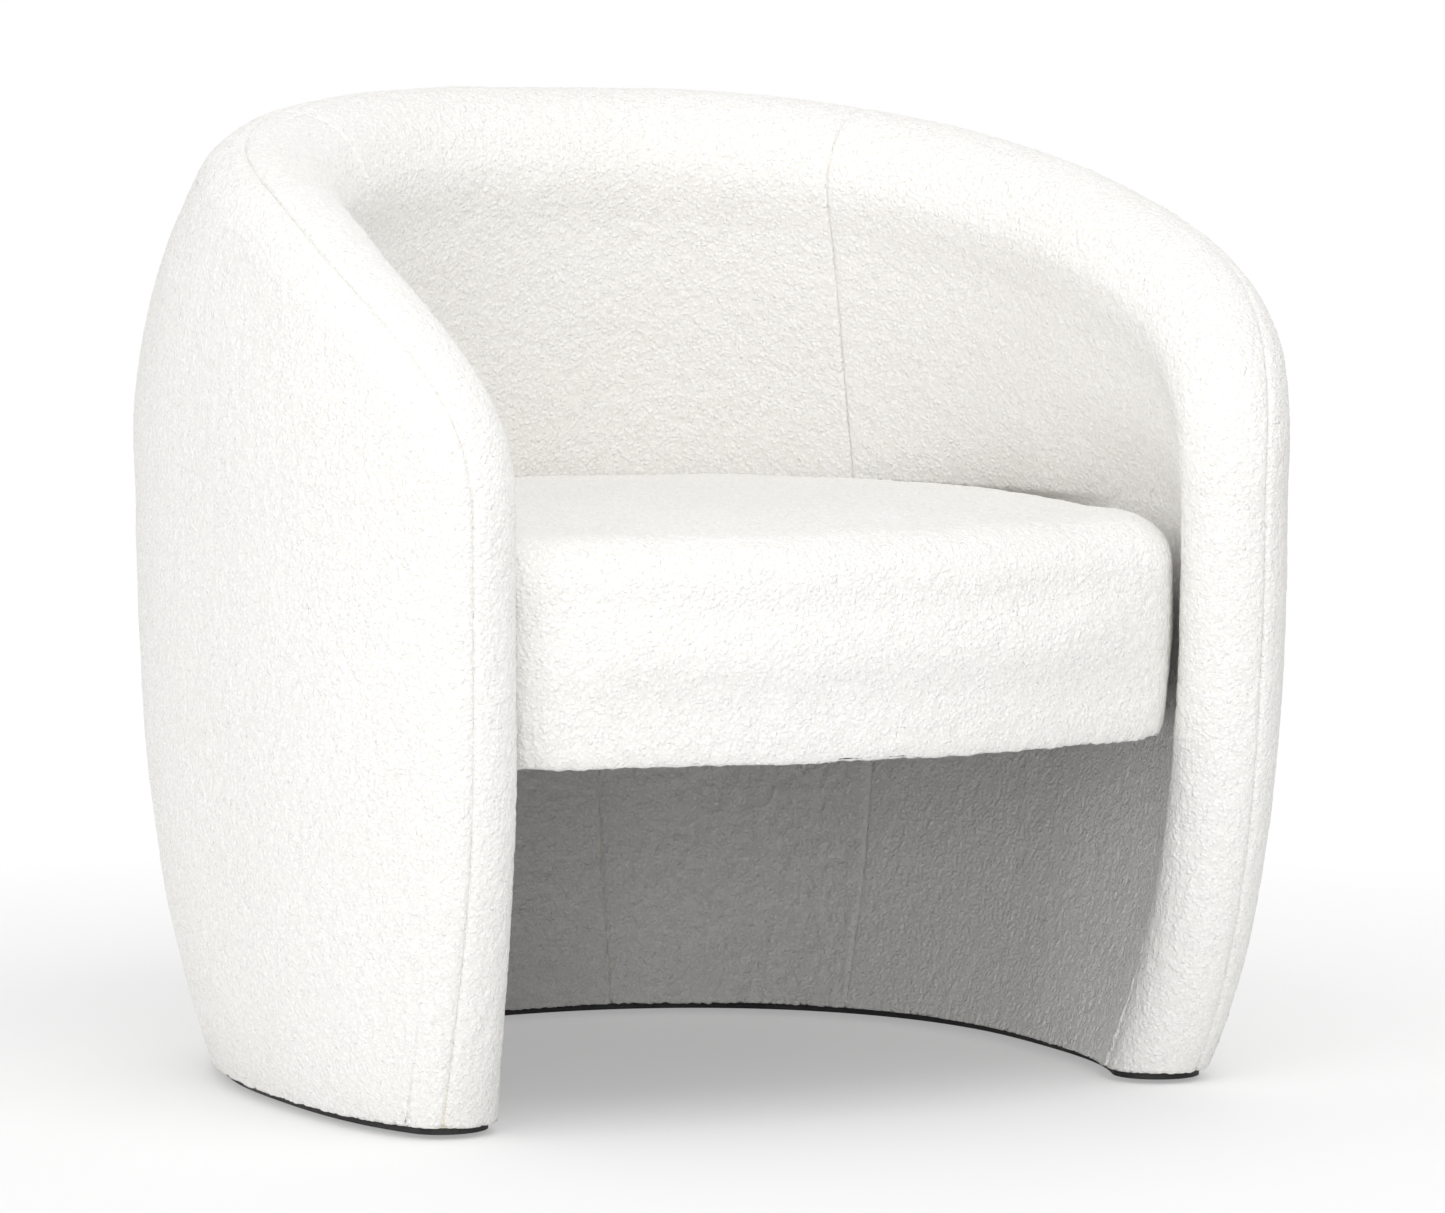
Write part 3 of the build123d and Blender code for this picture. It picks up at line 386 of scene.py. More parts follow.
def boucle_relief(points, normals, share=1.0, height=1.0):
    """Points raised into loops and slow unevenness along their normals."""
    loops = LOOP_HEIGHT * nubs(points, *LOOPS) + CURL_HEIGHT * nubs(points, *CURLS) - MEAN_HEIGHT
    slack = LONG_HEIGHT * waves(points, *LONG_WAVES) + SHORT_HEIGHT * waves(points, *SHORT_WAVES)
    return points + normals * (loops * height * share + slack)[:, None]


def tuck(distance, deep=3.0, wide=1.7):
    """How far the cloth dips into a seam."""
    return deep * np.exp(-np.abs(distance) / wide)


# ------------------------------------------------------------ covers of the shell
RIM_END = PANEL_SEAM + RIM_LENGTH + ARM_LENGTH


def cloth_mesh(name, points, facing, row, seam_run, height=1.0):
    """Mesh of a cover: a grid sunk into its seams and raised into loops, facing one way."""
    normals = grid_normals(points)
    flip = np.dot(normals[row, points.shape[1] // 2], facing) < 0
    if flip:
        normals = -normals
    calm = 1 - np.exp(-seam_run / CALM_RUN)
    sunk = points - normals * tuck(seam_run)[..., None]
    raised = boucle_relief(sunk.reshape(-1, 3), normals.reshape(-1, 3), calm.ravel(), height)
    return grid_mesh(name, raised.reshape(points.shape), not flip)


def rows_over(total, fine_first, fine_last):
    """Distances over a length that differs from column to column, finer at the ends asked for."""
    head = EDGE if fine_first else EDGE[:1]
    tail = EDGE[::-1] if fine_last else EDGE[:1]
    room = total - head[-1] - tail[0]
    count = max(2, int(round(room.max() / GRAIN)))
    share = np.linspace(0, 1, count + 1)[1:-1, None]
    return np.concatenate([head[:, None] + 0 * total, head[-1] + room * share,
                           total - tail[:, None]])


def shell_cloth(name, side, columns, end_left, end_right, stop=None):
    """One cover of the shell: over the roll from the rim seam, then down one side of the wall.

    side is 1 outside and -1 inside. end_left and end_right say whether that end is a seam or
    the foot of an arm. stop is the height of a seam where the cover ends; without it the cover
    runs to the floor and turns in.
    """
    hem_left = HEM[::-1] if end_left == "foot" else HEM[:0]
    hem_right = HEM if end_right == "foot" else HEM[:0]
    places = np.concatenate([columns[0] + 0 * hem_left, columns, columns[-1] + 0 * hem_right])
    depth = np.concatenate([hem_left, 0 * columns, hem_right])
    fan = Fan(places)
    sweep = 90 - SEAM_ANGLE if side > 0 else 90 + SEAM_ANGLE
    roll = rows_over(fan.half * math.radians(sweep), True, False)
    angle = SEAM_ANGLE + side * np.degrees(roll / fan.half)
    top = np.stack([fan.round(row, depth) for row in angle])
    if stop is None:
        end = fan.length
    else:
        end = fan.run_to(stop)
    fall = rows_over(end, False, stop is not None)[1:]
    flat = fan.down(side, fall, depth)
    hem = [fan.down(side, end[None, :], np.maximum(depth, step)[None, :]) for step in HEM]
    points = np.concatenate([top, flat] + (hem if stop is None else []))
    if side < 0:
        share = np.ones(points.shape[:2])
        turned = np.clip((-angle - PAD_TURN) / PAD_TURN_SPAN, 0, 1)
        share[:len(top)] = turned ** 2 * (3 - 2 * turned)
        points = fan.filled(points, share)
    seam_run = np.full(points.shape[:2], FAR)
    seam_run[:len(top)] = roll
    if stop is not None:
        seam_run[len(top):len(top) + len(fall)] = np.minimum(FAR, end - fall)
    ends = [columns[0]] * (end_left == "seam") + [columns[-1]] * (end_right == "seam")
    for place in ends:
        seam_run = np.minimum(seam_run, np.abs(places - place)[None, :])
    facing = fan.out[len(places) // 2] * side
    return cloth_mesh(name, points, facing, len(top) + 2, seam_run)


LINING_ROW = 20                    # a row away from the edges, to tell which way the cloth faces


def lining_cloth(name, first, last):
    """One lower panel of the inside back, from behind the seat to the floor."""
    columns = spaced(first, last, True, True)
    fan = Fan(columns)
    start = fan.run_to(LINING_TOP)
    rows = start + rows_over(fan.length - start, True, False)
    hem = [fan.down(-1, fan.length[None, :], step) for step in HEM]
    points = np.concatenate([fan.down(-1, rows)] + hem)
    seam_run = np.minimum(np.abs(columns - first), np.abs(last - columns))[None, :]
    from_top = np.concatenate([rows - start, np.full((len(HEM), len(columns)), FAR)])
    seam_run = np.minimum(seam_run, from_top)
    facing = -fan.out[len(columns) // 2]
    return cloth_mesh(name, points, facing, LINING_ROW, seam_run, LINING_LOOPS)


whole = spaced(-RIM_END, RIM_END, False, False)
left_places = spaced(-RIM_END, -PANEL_SEAM, False, True)
back_places = spaced(-PANEL_SEAM, PANEL_SEAM, True, True)
shell_pieces = {
    "outer_cover": shell_cloth("outside_cloth", 1, whole, "foot", "foot"),
    "inner_cover_left": shell_cloth("inside_cloth_left", -1, left_places, "foot", "seam"),
    "inner_cover_right": shell_cloth("inside_cloth_right", -1, -left_places[::-1], "seam", "foot"),
    "inner_cover_back": shell_cloth("inside_cloth_back", -1, back_places, "seam", "seam",
                                    LINING_TOP),
    "lining_left": lining_cloth("lining_cloth_left", -PANEL_SEAM, -LINING_SEAM),
    "lining_middle": lining_cloth("lining_cloth_middle", -LINING_SEAM, LINING_SEAM),
    "lining_right": lining_cloth("lining_cloth_right", LINING_SEAM, PANEL_SEAM),
}
for node, piece in shell_pieces.items():
    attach(piece, "root")
    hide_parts(node)


# ------------------------------------------------------------ seat
SEAT_INSET = 4.0                         # the pad starts this much smaller and swells out
SEAT_EDGE, SEAT_EDGE_DROP = 34.0, 32.0   # rounding of the top edge, across and down
LOW_EDGE, DRAWN_IN = 5.0, 2.0            # rounding of the bottom edge, and draw of the foot
LOW_START = 1.5                          # the pad starts this far above the underside of the seat
PAD_RADIUS, PAD_CORNER, PAD_GAP = 800.0, 36.0, 0.5   # the pad is squarer than the board it sits on
PAD_NOSE = 6.0                           # and stands out this far in front of the board
PAD_CENTRE_Y = -OVERALL_DEPTH / 2 + PAD_RADIUS - PAD_NOSE
CORNER_PULL = 0.62                       # fullness of the pad's front corners
LOW_RINGS, SIDE_RINGS, TOP_RINGS = 7, 14, 11
RING_POINTS, LIP_POINTS = 330, 700
VOXEL = 0.0052                           # in metres
SEAT_CROWN = 12.0
CROWN_WIDE, CROWN_DEEP, CROWN_Y = 330.0, 310.0, 10.0   # half sizes and middle of the crown
PRESSURE, LAST_FRAME = 4.0, 20
EVEN_ROUNDS = 40                         # how often the swelling is evened out
SEAT_RISE = 5.0                          # the most that a point of the pad may move
LIP_WIDTH, LIP_DROP = 14.0, 8.0          # hanging lip that hides the edge of the dust cover
LIP_FADE, LIP_TALL = 6.0, 10.0           # how it fades inwards and upwards


def back_push(arcs):
    """How far the padding of the inside back stands out of the wall just above the seat."""
    rim = rim_profile(rim_turn_at(np.abs(arcs)))[1]
    nx, ny = plan_at(arcs)[2:]
    level = np.full(len(arcs), PAD_FULL)
    wall = middle(arcs, level) - across(arcs, level) * half_wall(level)[:, None]
    gone = wall - middle(arcs, rim)
    behind = gone[:, 0] * nx + gone[:, 1] * ny + half_wall(rim) - PAD_LEAN * (rim - PAD_FULL)
    return np.clip(behind, 0, None) * pad_share(rim)


def seat_side(arcs, z, recess, turned):
    """Plan points of the seat's sides and back at a height, drawn in by a recess."""
    z = np.full(len(arcs), z)
    reach = half_wall(z) + PAD_GAP + recess + back_push(arcs) * turned
    return (middle(arcs, z) - across(arcs, z) * reach[:, None])[:, :2]


def seat_outline(z, recess, turned=0.0):
    """Closed plan of the pad: sides that follow the shell, rounded corners, bowed front."""
    radius = PAD_RADIUS - recess
    arcs = np.linspace(float(arc_at(0.0)), float(arc_at(ARM_FRONT_Y)), 2000)
    sides = seat_side(arcs, z, recess, turned)
    meet = np.argmin(np.abs(np.hypot(sides[:, 0], sides[:, 1] - PAD_CENTRE_Y) - radius))
    end = arcs[meet] - PAD_CORNER
    corner = sides[meet]
    half_turn = math.atan2(corner[0], PAD_CENTRE_Y - corner[1]) - PAD_CORNER / radius
    side = seat_side(np.linspace(end, -end, 400), z, recess, turned)
    turns = np.linspace(-half_turn, half_turn, 160)
    bow = np.stack([radius * np.sin(turns), PAD_CENTRE_Y - radius * np.cos(turns)], 1)
    pull = PAD_CORNER * CORNER_PULL
    weights = curve_weights(np.linspace(0, 1, 40)[1:-1, None])

    def corner_points(start, start_way, stop, stop_way):
        holds = [start, start + start_way * pull, stop - stop_way * pull, stop]
        return sum(weight * hold for weight, hold in zip(weights, holds))

    left = corner_points(side[-1], unit(side[-1] - side[-2]), bow[0], unit(bow[1] - bow[0]))
    right = corner_points(bow[-1], unit(bow[-1] - bow[-2]), side[0], unit(side[1] - side[0]))
    return np.concatenate([side, left, bow, right])


def even_loop(points, count):
    """A closed outline as a number of even steps."""
    closed = np.concatenate([points, points[:1]])
    run = np.concatenate([[0.0], np.cumsum(np.linalg.norm(np.diff(closed, axis=0), axis=1))])
    places = np.linspace(0, run[-1], count, endpoint=False)
    return np.stack([np.interp(places, run, closed[:, k]) for k in range(2)], 1)


def bake_down(piece):
    """Applies a piece's modifiers to its mesh."""
    depsgraph = bpy.context.evaluated_depsgraph_get()
    baked = bpy.data.meshes.new_from_object(piece.evaluated_get(depsgraph))
    piece.modifiers.clear()
    piece.data = baked


def vertices_of(piece):
    """Vertex places of a piece in millimetres."""
    places = np.empty(len(piece.data.vertices) * 3, np.float32)
    piece.data.vertices.foreach_get("co", places)
    return places.reshape(-1, 3).astype(float) / MM


def normals_of(piece):
    """Vertex normals of a piece."""
    normals = np.empty(len(piece.data.vertices) * 3, np.float32)
    piece.data.vertex_normals.foreach_get("vector", normals)
    return normals.reshape(-1, 3).astype(float)


def set_vertices(piece, places):
    """Moves the vertices of a piece to places in millimetres."""
    piece.data.vertices.foreach_set("co", (places * MM).astype(np.float32).ravel())
    piece.data.update()


def evened(piece, moves, rounds):
    """Moves of the vertices, each taken toward the mean of its neighbours a number of times."""
    ends = np.empty(len(piece.data.edges) * 2, np.int32)
    piece.data.edges.foreach_get("vertices", ends)
    one, two = ends.reshape(-1, 2).T
    count = len(piece.data.vertices)
    near = np.bincount(one, minlength=count) + np.bincount(two, minlength=count)
    for _ in range(rounds):
        total = np.stack([np.bincount(one, moves[two, k], count)
                          + np.bincount(two, moves[one, k], count) for k in range(3)], 1)
        moves = (moves + total / near[:, None]) / 2
    return moves


def swell(pad):
    """Lets the pad swell under a little pressure and keeps the result."""
    cloth = pad.modifiers.new("cloth", "CLOTH")
    settings = cloth.settings
    settings.quality = 5
    settings.use_pressure = True
    settings.uniform_pressure_force = PRESSURE
    settings.effector_weights.gravity = 0.0
    settings.tension_stiffness = settings.compression_stiffness = 25.0
    settings.bending_stiffness = 2.0
    cloth.point_cache.frame_start, cloth.point_cache.frame_end = 1, LAST_FRAME
    for frame_number in range(1, LAST_FRAME + 1):
        bpy.context.scene.frame_set(frame_number)
    bake_down(pad)
    bpy.context.scene.frame_set(1)


def pad_rings():
    """Rings of the pad from the bottom up: recess, height, and how far round the top edge."""
    low, top = SEAT_BOTTOM + LOW_START, SEAT_TOP - SEAT_INSET
    waist = top - SEAT_EDGE_DROP
    rings = []
    for a in np.linspace(0, math.pi / 2, LOW_RINGS):
        rings.append((LOW_EDGE * (1 - math.sin(a)) + DRAWN_IN,
                      low + LOW_EDGE * (1 - math.cos(a)), 0))
    for part in np.linspace(0, 1, SIDE_RINGS)[1:-1]:
        rings.append((DRAWN_IN * (1 - part) ** 2,
                      low + LOW_EDGE + (waist - low - LOW_EDGE) * part, 0))
    for a in np.linspace(0, math.pi / 2, TOP_RINGS):
        turned = 1 - math.cos(a)
        rings.append((SEAT_EDGE * turned, waist + SEAT_EDGE_DROP * math.sin(a), turned))
    return rings


def plain_pad(name):
    """Closed pad from its rings, with even faces."""
    mesh = bmesh.new()
    loops = []
    for recess, z, turned in pad_rings():
        plan = even_loop(seat_outline(z, SEAT_INSET + recess, turned), RING_POINTS)
        loops.append([mesh.verts.new((x * MM, y * MM, z * MM)) for x, y in plan])
    for one, two in zip(loops, loops[1:]):
        for k in range(len(one)):
            j = (k + 1) % len(one)
            mesh.faces.new((one[k], one[j], two[j], two[k]))
    mesh.faces.new(loops[0])
    mesh.faces.new(loops[-1])
    bmesh.ops.recalc_face_normals(mesh, faces=mesh.faces)
    data = bpy.data.meshes.new(name)
    mesh.to_mesh(data)
    mesh.free()
    pad = bpy.data.objects.new(name, data)
    bpy.context.scene.collection.objects.link(pad)
    remesh = pad.modifiers.new("remesh", "REMESH")
    remesh.mode = "VOXEL"
    remesh.voxel_size = VOXEL
    bake_down(pad)
    return pad


def lip_share(places):
    """How much of the hanging lip there is at each place: 1 along the outline, 0 further in."""
    plan = even_loop(seat_outline(SEAT_BOTTOM, DRAWN_IN), LIP_POINTS)
    tree = KDTree(len(plan))
    for k, (x, y) in enumerate(plan):
        tree.insert((x, y, 0.0), k)
    tree.balance()
    lip = np.zeros(len(places))
    for k in np.flatnonzero(places[:, 2] < SEAT_BOTTOM + 12):
        gap = tree.find((places[k, 0], places[k, 1], 0.0))[2]
        lip[k] = np.clip(1 - (gap - LIP_WIDTH) / LIP_FADE, 0, 1)
    return lip


def seat_pad(name):
    """Crowned pad, swollen by cloth pressure, then covered in loops, with a lip at its foot."""
    pad = plain_pad(name)
    start = vertices_of(pad)
    away = (start[:, 0] / CROWN_WIDE) ** 2 + ((start[:, 1] - CROWN_Y) / CROWN_DEEP) ** 2
    share = np.clip((start[:, 2] - SEAT_BOTTOM) / (SEAT_TOP - SEAT_BOTTOM), 0, 1)
    start[:, 2] += SEAT_CROWN * np.clip(1 - away, 0, 1) * share ** 2
    set_vertices(pad, start)
    swell(pad)
    moved = evened(pad, vertices_of(pad) - start, EVEN_ROUNDS)
    size = np.linalg.norm(moved, axis=1, keepdims=True)
    moved *= np.minimum(1.0, SEAT_RISE / np.maximum(size, 1e-9))
    place = start + moved
    place[:, 2] = np.maximum(place[:, 2], SEAT_BOTTOM + 0.4)
    set_vertices(pad, place)
    smooth = pad.modifiers.new("smooth", "SMOOTH")
    smooth.factor, smooth.iterations = 0.5, 6
    finer = pad.modifiers.new("finer", "SUBSURF")
    finer.levels = finer.render_levels = 1
    bake_down(pad)
    place, normals = vertices_of(pad), normals_of(pad)
    lip = lip_share(place)
    height = np.clip((place[:, 2] - SEAT_BOTTOM - 2) / 5, 0, 1)
    raised = boucle_relief(place, normals, np.maximum(height, np.maximum(0.05, lip)))
    fading = np.clip((place[:, 2] - SEAT_BOTTOM - 4) / LIP_TALL, 0, 1)
    raised[:, 2] -= LIP_DROP * lip * (1 - fading)
    raised[:, 2] = np.maximum(raised[:, 2], SEAT_BOTTOM + 0.2 - LIP_DROP * lip)
    set_vertices(pad, raised)
    pad.data.shade_smooth()
    return pad


seat = seat_pad("seat_pad")
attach(seat, "root")
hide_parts("seat_cover_top", "seat_cover_band", "seat_wadding", "seat_foam")


# ------------------------------------------------------------ materials
class Nodes:
    """A material's node tree, with short ways to add and join nodes."""

    def __init__(self, name):
        self.material = bpy.data.materials.new(name)
        self.material.use_nodes = True
        self.tree = self.material.node_tree
        self.tree.nodes.clear()
        self.output = self.tree.nodes.new("ShaderNodeOutputMaterial")
        self.shader = self.tree.nodes.new("ShaderNodeBsdfPrincipled")
        self.join(self.shader.outputs["BSDF"], self.output.inputs["Surface"])
        self.place = self.tree.nodes.new("ShaderNodeTexCoord").outputs["Object"]

    def join(self, out, into):
        self.tree.links.new(out, into)

    def add(self, kind, sets=(), **joins):
        """A node; sets are (property, value) pairs and joins are input name=socket or number."""
        node = self.tree.nodes.new("ShaderNode" + kind)
        for key, value in sets:
            setattr(node, key, value)
        for key, value in joins.items():
            socket = node.inputs[int(key[1:])] if key[:1] == "_" else node.inputs[key]
            if isinstance(value, bpy.types.NodeSocket):
                self.join(value, socket)
            else:
                socket.default_value = value
        return node

    def noise(self, scale, detail=3.0, rough=0.55, at=None):
        node = self.add("TexNoise", Vector=at or self.place, Scale=scale, Detail=detail,
                        Roughness=rough)
        return node.outputs["Fac"]

    def cells(self, scale, feature="F1", smooth=None, at=None):
        sets = [("feature", feature)]
        node = self.add("TexVoronoi", sets, Vector=at or self.place, Scale=scale)
        if smooth is not None:
            node.inputs["Smoothness"].default_value = smooth
        return node.outputs["Distance"]

    def ramp(self, value, stops):
        node = self.add("ValToRGB", Fac=value)
        ramp = node.color_ramp
        while len(ramp.elements) < len(stops):
            ramp.elements.new(0.5)
        for element, (spot, colour) in zip(ramp.elements, stops):
            element.position = spot
            element.color = (*colour, 1.0)
        return node.outputs["Color"]

    def level(self, value, low, high, out_low, out_high):
        node = self.add("MapRange", _0=value, _1=low, _2=high, _3=out_low, _4=out_high)
        return node.outputs["Result"]

    def math(self, operation, one, two=0.0):
        return self.add("Math", [("operation", operation)], _0=one, _1=two).outputs["Value"]

    def mix(self, share, one, two, blend="MIX"):
        node = self.add("Mix", [("data_type", "RGBA"), ("blend_type", blend)])
        for key, value in ((0, share), (6, one), (7, two)):
            if isinstance(value, bpy.types.NodeSocket):
                self.join(value, node.inputs[key])
            else:
                node.inputs[key].default_value = value if key == 0 else (*value, 1.0)
        return node.outputs[2]

    def bump(self, height, strength, distance, base=None):
        node = self.add("Bump", Height=height, Strength=strength, Distance=distance)
        if base is not None:
            self.join(base, node.inputs["Normal"])
        return node.outputs["Normal"]

    def finish(self, colour=None, roughness=None, normal=None, **values):
        for key, value in (("Base Color", colour), ("Roughness", roughness), ("Normal", normal)):
            if isinstance(value, bpy.types.NodeSocket):
                self.join(value, self.shader.inputs[key])
            elif value is not None:
                self.shader.inputs[key].default_value = value
        for key, value in values.items():
            self.shader.inputs[key.replace("_", " ")].default_value = value
        return self.material


def boucle_material():
    """Looped ivory yarn: curls of a few millimetres in clumps, with finer strands on them."""
    m = Nodes("ivory_boucle")
    wobble = m.add("TexNoise", Vector=m.place, Scale=240.0, Detail=2.0).outputs["Color"]
    bent = m.add("VectorMath", [("operation", "MULTIPLY_ADD")], _0=wobble,
                 _1=(0.0026, 0.0026, 0.0026), _2=m.place).outputs["Vector"]
    curls = m.level(m.cells(300.0, "SMOOTH_F1", 0.3, at=bent), 0.05, 0.62, 1.0, 0.0)
    small = m.level(m.cells(620.0, at=bent), 0.0, 0.7, 1.0, 0.0)
    clumps = m.noise(85.0, 2.0, 0.5, at=bent)
    strands = m.noise(1700.0, 3.0, 0.65, at=bent)
    normal = m.bump(strands, 0.3, 0.0005)
    normal = m.bump(small, 0.45, 0.0009, normal)
    normal = m.bump(curls, 0.55, 0.0016, normal)
    normal = m.bump(clumps, 0.4, 0.003, normal)
    # painted shade: the colour goes darker and warmer into the hollows between the curls, and palest
    # on their tops
    colour = m.ramp(curls, [(0.0, (0.90, 0.888, 0.86)), (0.3, (0.94, 0.934, 0.918)),
                            (0.65, (0.957, 0.952, 0.938)), (1.0, (0.965, 0.961, 0.95))])
    fleck = m.level(m.noise(800.0, 2.0), 0.45, 0.75, 0.0, 0.2)
    colour = m.mix(fleck, colour, (0.92, 0.905, 0.865))
    drift = m.level(m.noise(7.0, 2.0), 0.3, 0.7, 0.0, 0.35)
    colour = m.mix(drift, colour, (0.965, 0.955, 0.93), "MULTIPLY")
    rough = m.level(strands, 0.2, 0.8, 0.85, 1.0)
    return m.finish(colour, rough, normal, Sheen_Weight=0.2, Sheen_Roughness=0.6,
                    Specular_IOR_Level=0.12)


def foam_material():
    """Cut polyurethane foam: pale yellow with open cells."""
    m = Nodes("upholstery_foam")
    cells = m.cells(900.0)
    pores = m.level(cells, 0.1, 0.6, 0.0, 1.0)
    # painted shade: the colour turns dark brownish yellow inside the pores, where shade falls in the
    # open cells
    colour = m.ramp(pores, [(0.0, (0.52, 0.46, 0.27)), (0.5, (0.80, 0.75, 0.55)),
                            (1.0, (0.87, 0.83, 0.66))])
    colour = m.mix(m.level(m.noise(14.0), 0.35, 0.7, 0.0, 0.5), colour, (0.86, 0.79, 0.58))
    normal = m.bump(pores, 0.6, 0.0006)
    return m.finish(colour, 0.95, normal, Specular_IOR_Level=0.2)


def wadding_material():
    """White polyester wadding: matted fibres."""
    m = Nodes("white_wadding")
    long_way = m.add("Mapping", Vector=m.place, Scale=(60.0, 420.0, 220.0)).outputs["Vector"]
    fibres = m.noise(6.0, 5.0, 0.7, at=long_way)
    colour = m.ramp(fibres, [(0.3, (0.78, 0.79, 0.80)), (0.55, (0.90, 0.905, 0.91)),
                             (0.8, (0.95, 0.95, 0.95))])
    normal = m.bump(fibres, 0.6, 0.0012)
    return m.finish(colour, 0.9, normal, Sheen_Weight=0.3, Sheen_Roughness=0.5)


def felt_material():
    """Grey needled felt with stray fibres of other colours."""
    m = Nodes("needled_felt")
    fibres = m.noise(700.0, 5.0, 0.7)
    colour = m.ramp(fibres, [(0.3, (0.20, 0.20, 0.21)), (0.5, (0.42, 0.42, 0.43)),
                             (0.75, (0.66, 0.65, 0.64))])
    spot = m.level(m.cells(160.0), 0.04, 0.12, 1.0, 0.0)
    colour = m.mix(spot, colour, (0.13, 0.20, 0.34))
    return m.finish(colour, 0.95, m.bump(fibres, 0.5, 0.0006), Specular_IOR_Level=0.15)


def webbing_material():
    """Elastic webbing: dark ribs across with pale rubber threads along."""
    m = Nodes("elastic_webbing")
    ribs = m.add("TexWave", [("wave_type", "BANDS"), ("bands_direction", "DIAGONAL")],
                 Vector=m.place, Scale=220.0, Distortion=1.5, Detail=2.0).outputs["Fac"]
    threads = m.cells(520.0)
    colour = m.ramp(ribs, [(0.2, (0.012, 0.012, 0.013)), (0.6, (0.045, 0.043, 0.042)),
                           (0.95, (0.16, 0.15, 0.13))])
    normal = m.bump(threads, 0.3, 0.0004, m.bump(ribs, 0.5, 0.0008))
    return m.finish(colour, 0.8, normal, Specular_IOR_Level=0.3)


def dust_cloth_material():
    """Black spun-bonded cloth with its embossed dots."""
    m = Nodes("spunbond_lining")
    dots = m.level(m.cells(420.0), 0.1, 0.35, 1.0, 0.0)
    fibres = m.noise(1300.0, 4.0, 0.7)
    colour = m.mix(fibres, (0.010, 0.010, 0.011), (0.042, 0.042, 0.044))
    colour = m.mix(m.math("MULTIPLY", dots, 0.6), colour, (0.020, 0.020, 0.021))
    normal = m.bump(fibres, 0.3, 0.0004, m.bump(dots, 0.5, 0.0005))
    return m.finish(colour, 0.75, normal, Specular_IOR_Level=0.3)


def wood_material(name, pale, dark, grain_scale, sheets=0.0):
    """Wood with grain along its length; sheets is how many veneers show per metre of height."""
    m = Nodes(name)
    long_way = m.add("Mapping", Vector=m.place, Scale=(grain_scale, grain_scale, grain_scale * 9))
    grain = m.add("TexNoise", Vector=long_way.outputs["Vector"], Scale=1.0, Detail=6.0,
                  Roughness=0.6, Distortion=0.8).outputs["Fac"]
    pores = m.add("TexNoise", Vector=long_way.outputs["Vector"], Scale=14.0, Detail=3.0,
                  Roughness=0.7).outputs["Fac"]
    shade = m.math("ADD", m.math("MULTIPLY", grain, 0.75), m.math("MULTIPLY", pores, 0.25))
    colour = m.ramp(shade, [(0.3, dark), (0.5, tuple((a + b) / 2 for a, b in zip(pale, dark))),
                            (0.7, pale)])
    normal = m.bump(pores, 0.25, 0.0003)
    if sheets:
        layers = m.add("TexWave", [("wave_type", "BANDS"), ("bands_direction", "Z")],
                       Vector=m.place, Scale=sheets, Distortion=0.3).outputs["Fac"]
        dim = m.level(layers, 0.1, 0.5, 0.35, 0.0)
        colour = m.mix(dim, colour, (0.30, 0.19, 0.10))
        normal = m.bump(layers, 0.15, 0.0003, normal)
    rough = m.level(grain, 0.2, 0.8, 0.45, 0.7)
    return m.finish(colour, rough, normal)


def board_material():
    """Black stained base board, a little paler along its sharp edges."""
    m = Nodes("black_base_board")
    speck = m.noise(420.0, 4.0, 0.65)
    broad = m.noise(22.0, 3.0)
    colour = m.ramp(speck, [(0.3, (0.006, 0.006, 0.0065)), (0.6, (0.014, 0.014, 0.015)),
                            (0.85, (0.03, 0.03, 0.031))])
    edge = m.add("NewGeometry").outputs["Pointiness"]
    # paler along the sharp edges, where the mesh's pointiness is high
    colour = m.mix(m.level(edge, 0.52, 0.6, 0.0, 0.35), colour, (0.06, 0.058, 0.055))
    rough = m.level(broad, 0.3, 0.7, 0.5, 0.75)
    return m.finish(colour, rough, m.bump(speck, 0.2, 0.0004), Specular_IOR_Level=0.35)


def plastic_material(name, colour, other, rough):
    """Moulded plastic with a fine spark-eroded grain and slight streaks of flow."""
    m = Nodes(name)
    grain = m.cells(1500.0)
    flow = m.add("TexNoise", Vector=m.place, Scale=35.0, Detail=2.0, Distortion=2.0).outputs["Fac"]
    shade = m.mix(m.level(flow, 0.3, 0.7, 0.0, 1.0), colour, other)
    return m.finish(shade, m.level(flow, 0.3, 0.7, rough - 0.06, rough + 0.08),
                    m.bump(grain, 0.2, 0.0002))


def zinc_material():
    """Bright zinc plating: mottled bluish silver with fine turning marks."""
    m = Nodes("zinc_plated_steel")
    mottle = m.noise(130.0, 4.0)
    fine = m.noise(1600.0, 3.0)
    colour = m.ramp(mottle, [(0.3, (0.50, 0.52, 0.54)), (0.6, (0.66, 0.67, 0.68)),
                             (0.85, (0.74, 0.73, 0.68))])
    rough = m.level(mottle, 0.3, 0.8, 0.28, 0.48)
    return m.finish(colour, rough, m.bump(fine, 0.15, 0.0001), Metallic=1.0)


def wear(piece, material):
    """Gives a piece one material."""
    piece.data.materials.clear()
    piece.data.materials.append(material)


BOUCLE = boucle_material()
for piece in list(shell_pieces.values()) + [seat]:
    wear(piece, BOUCLE)

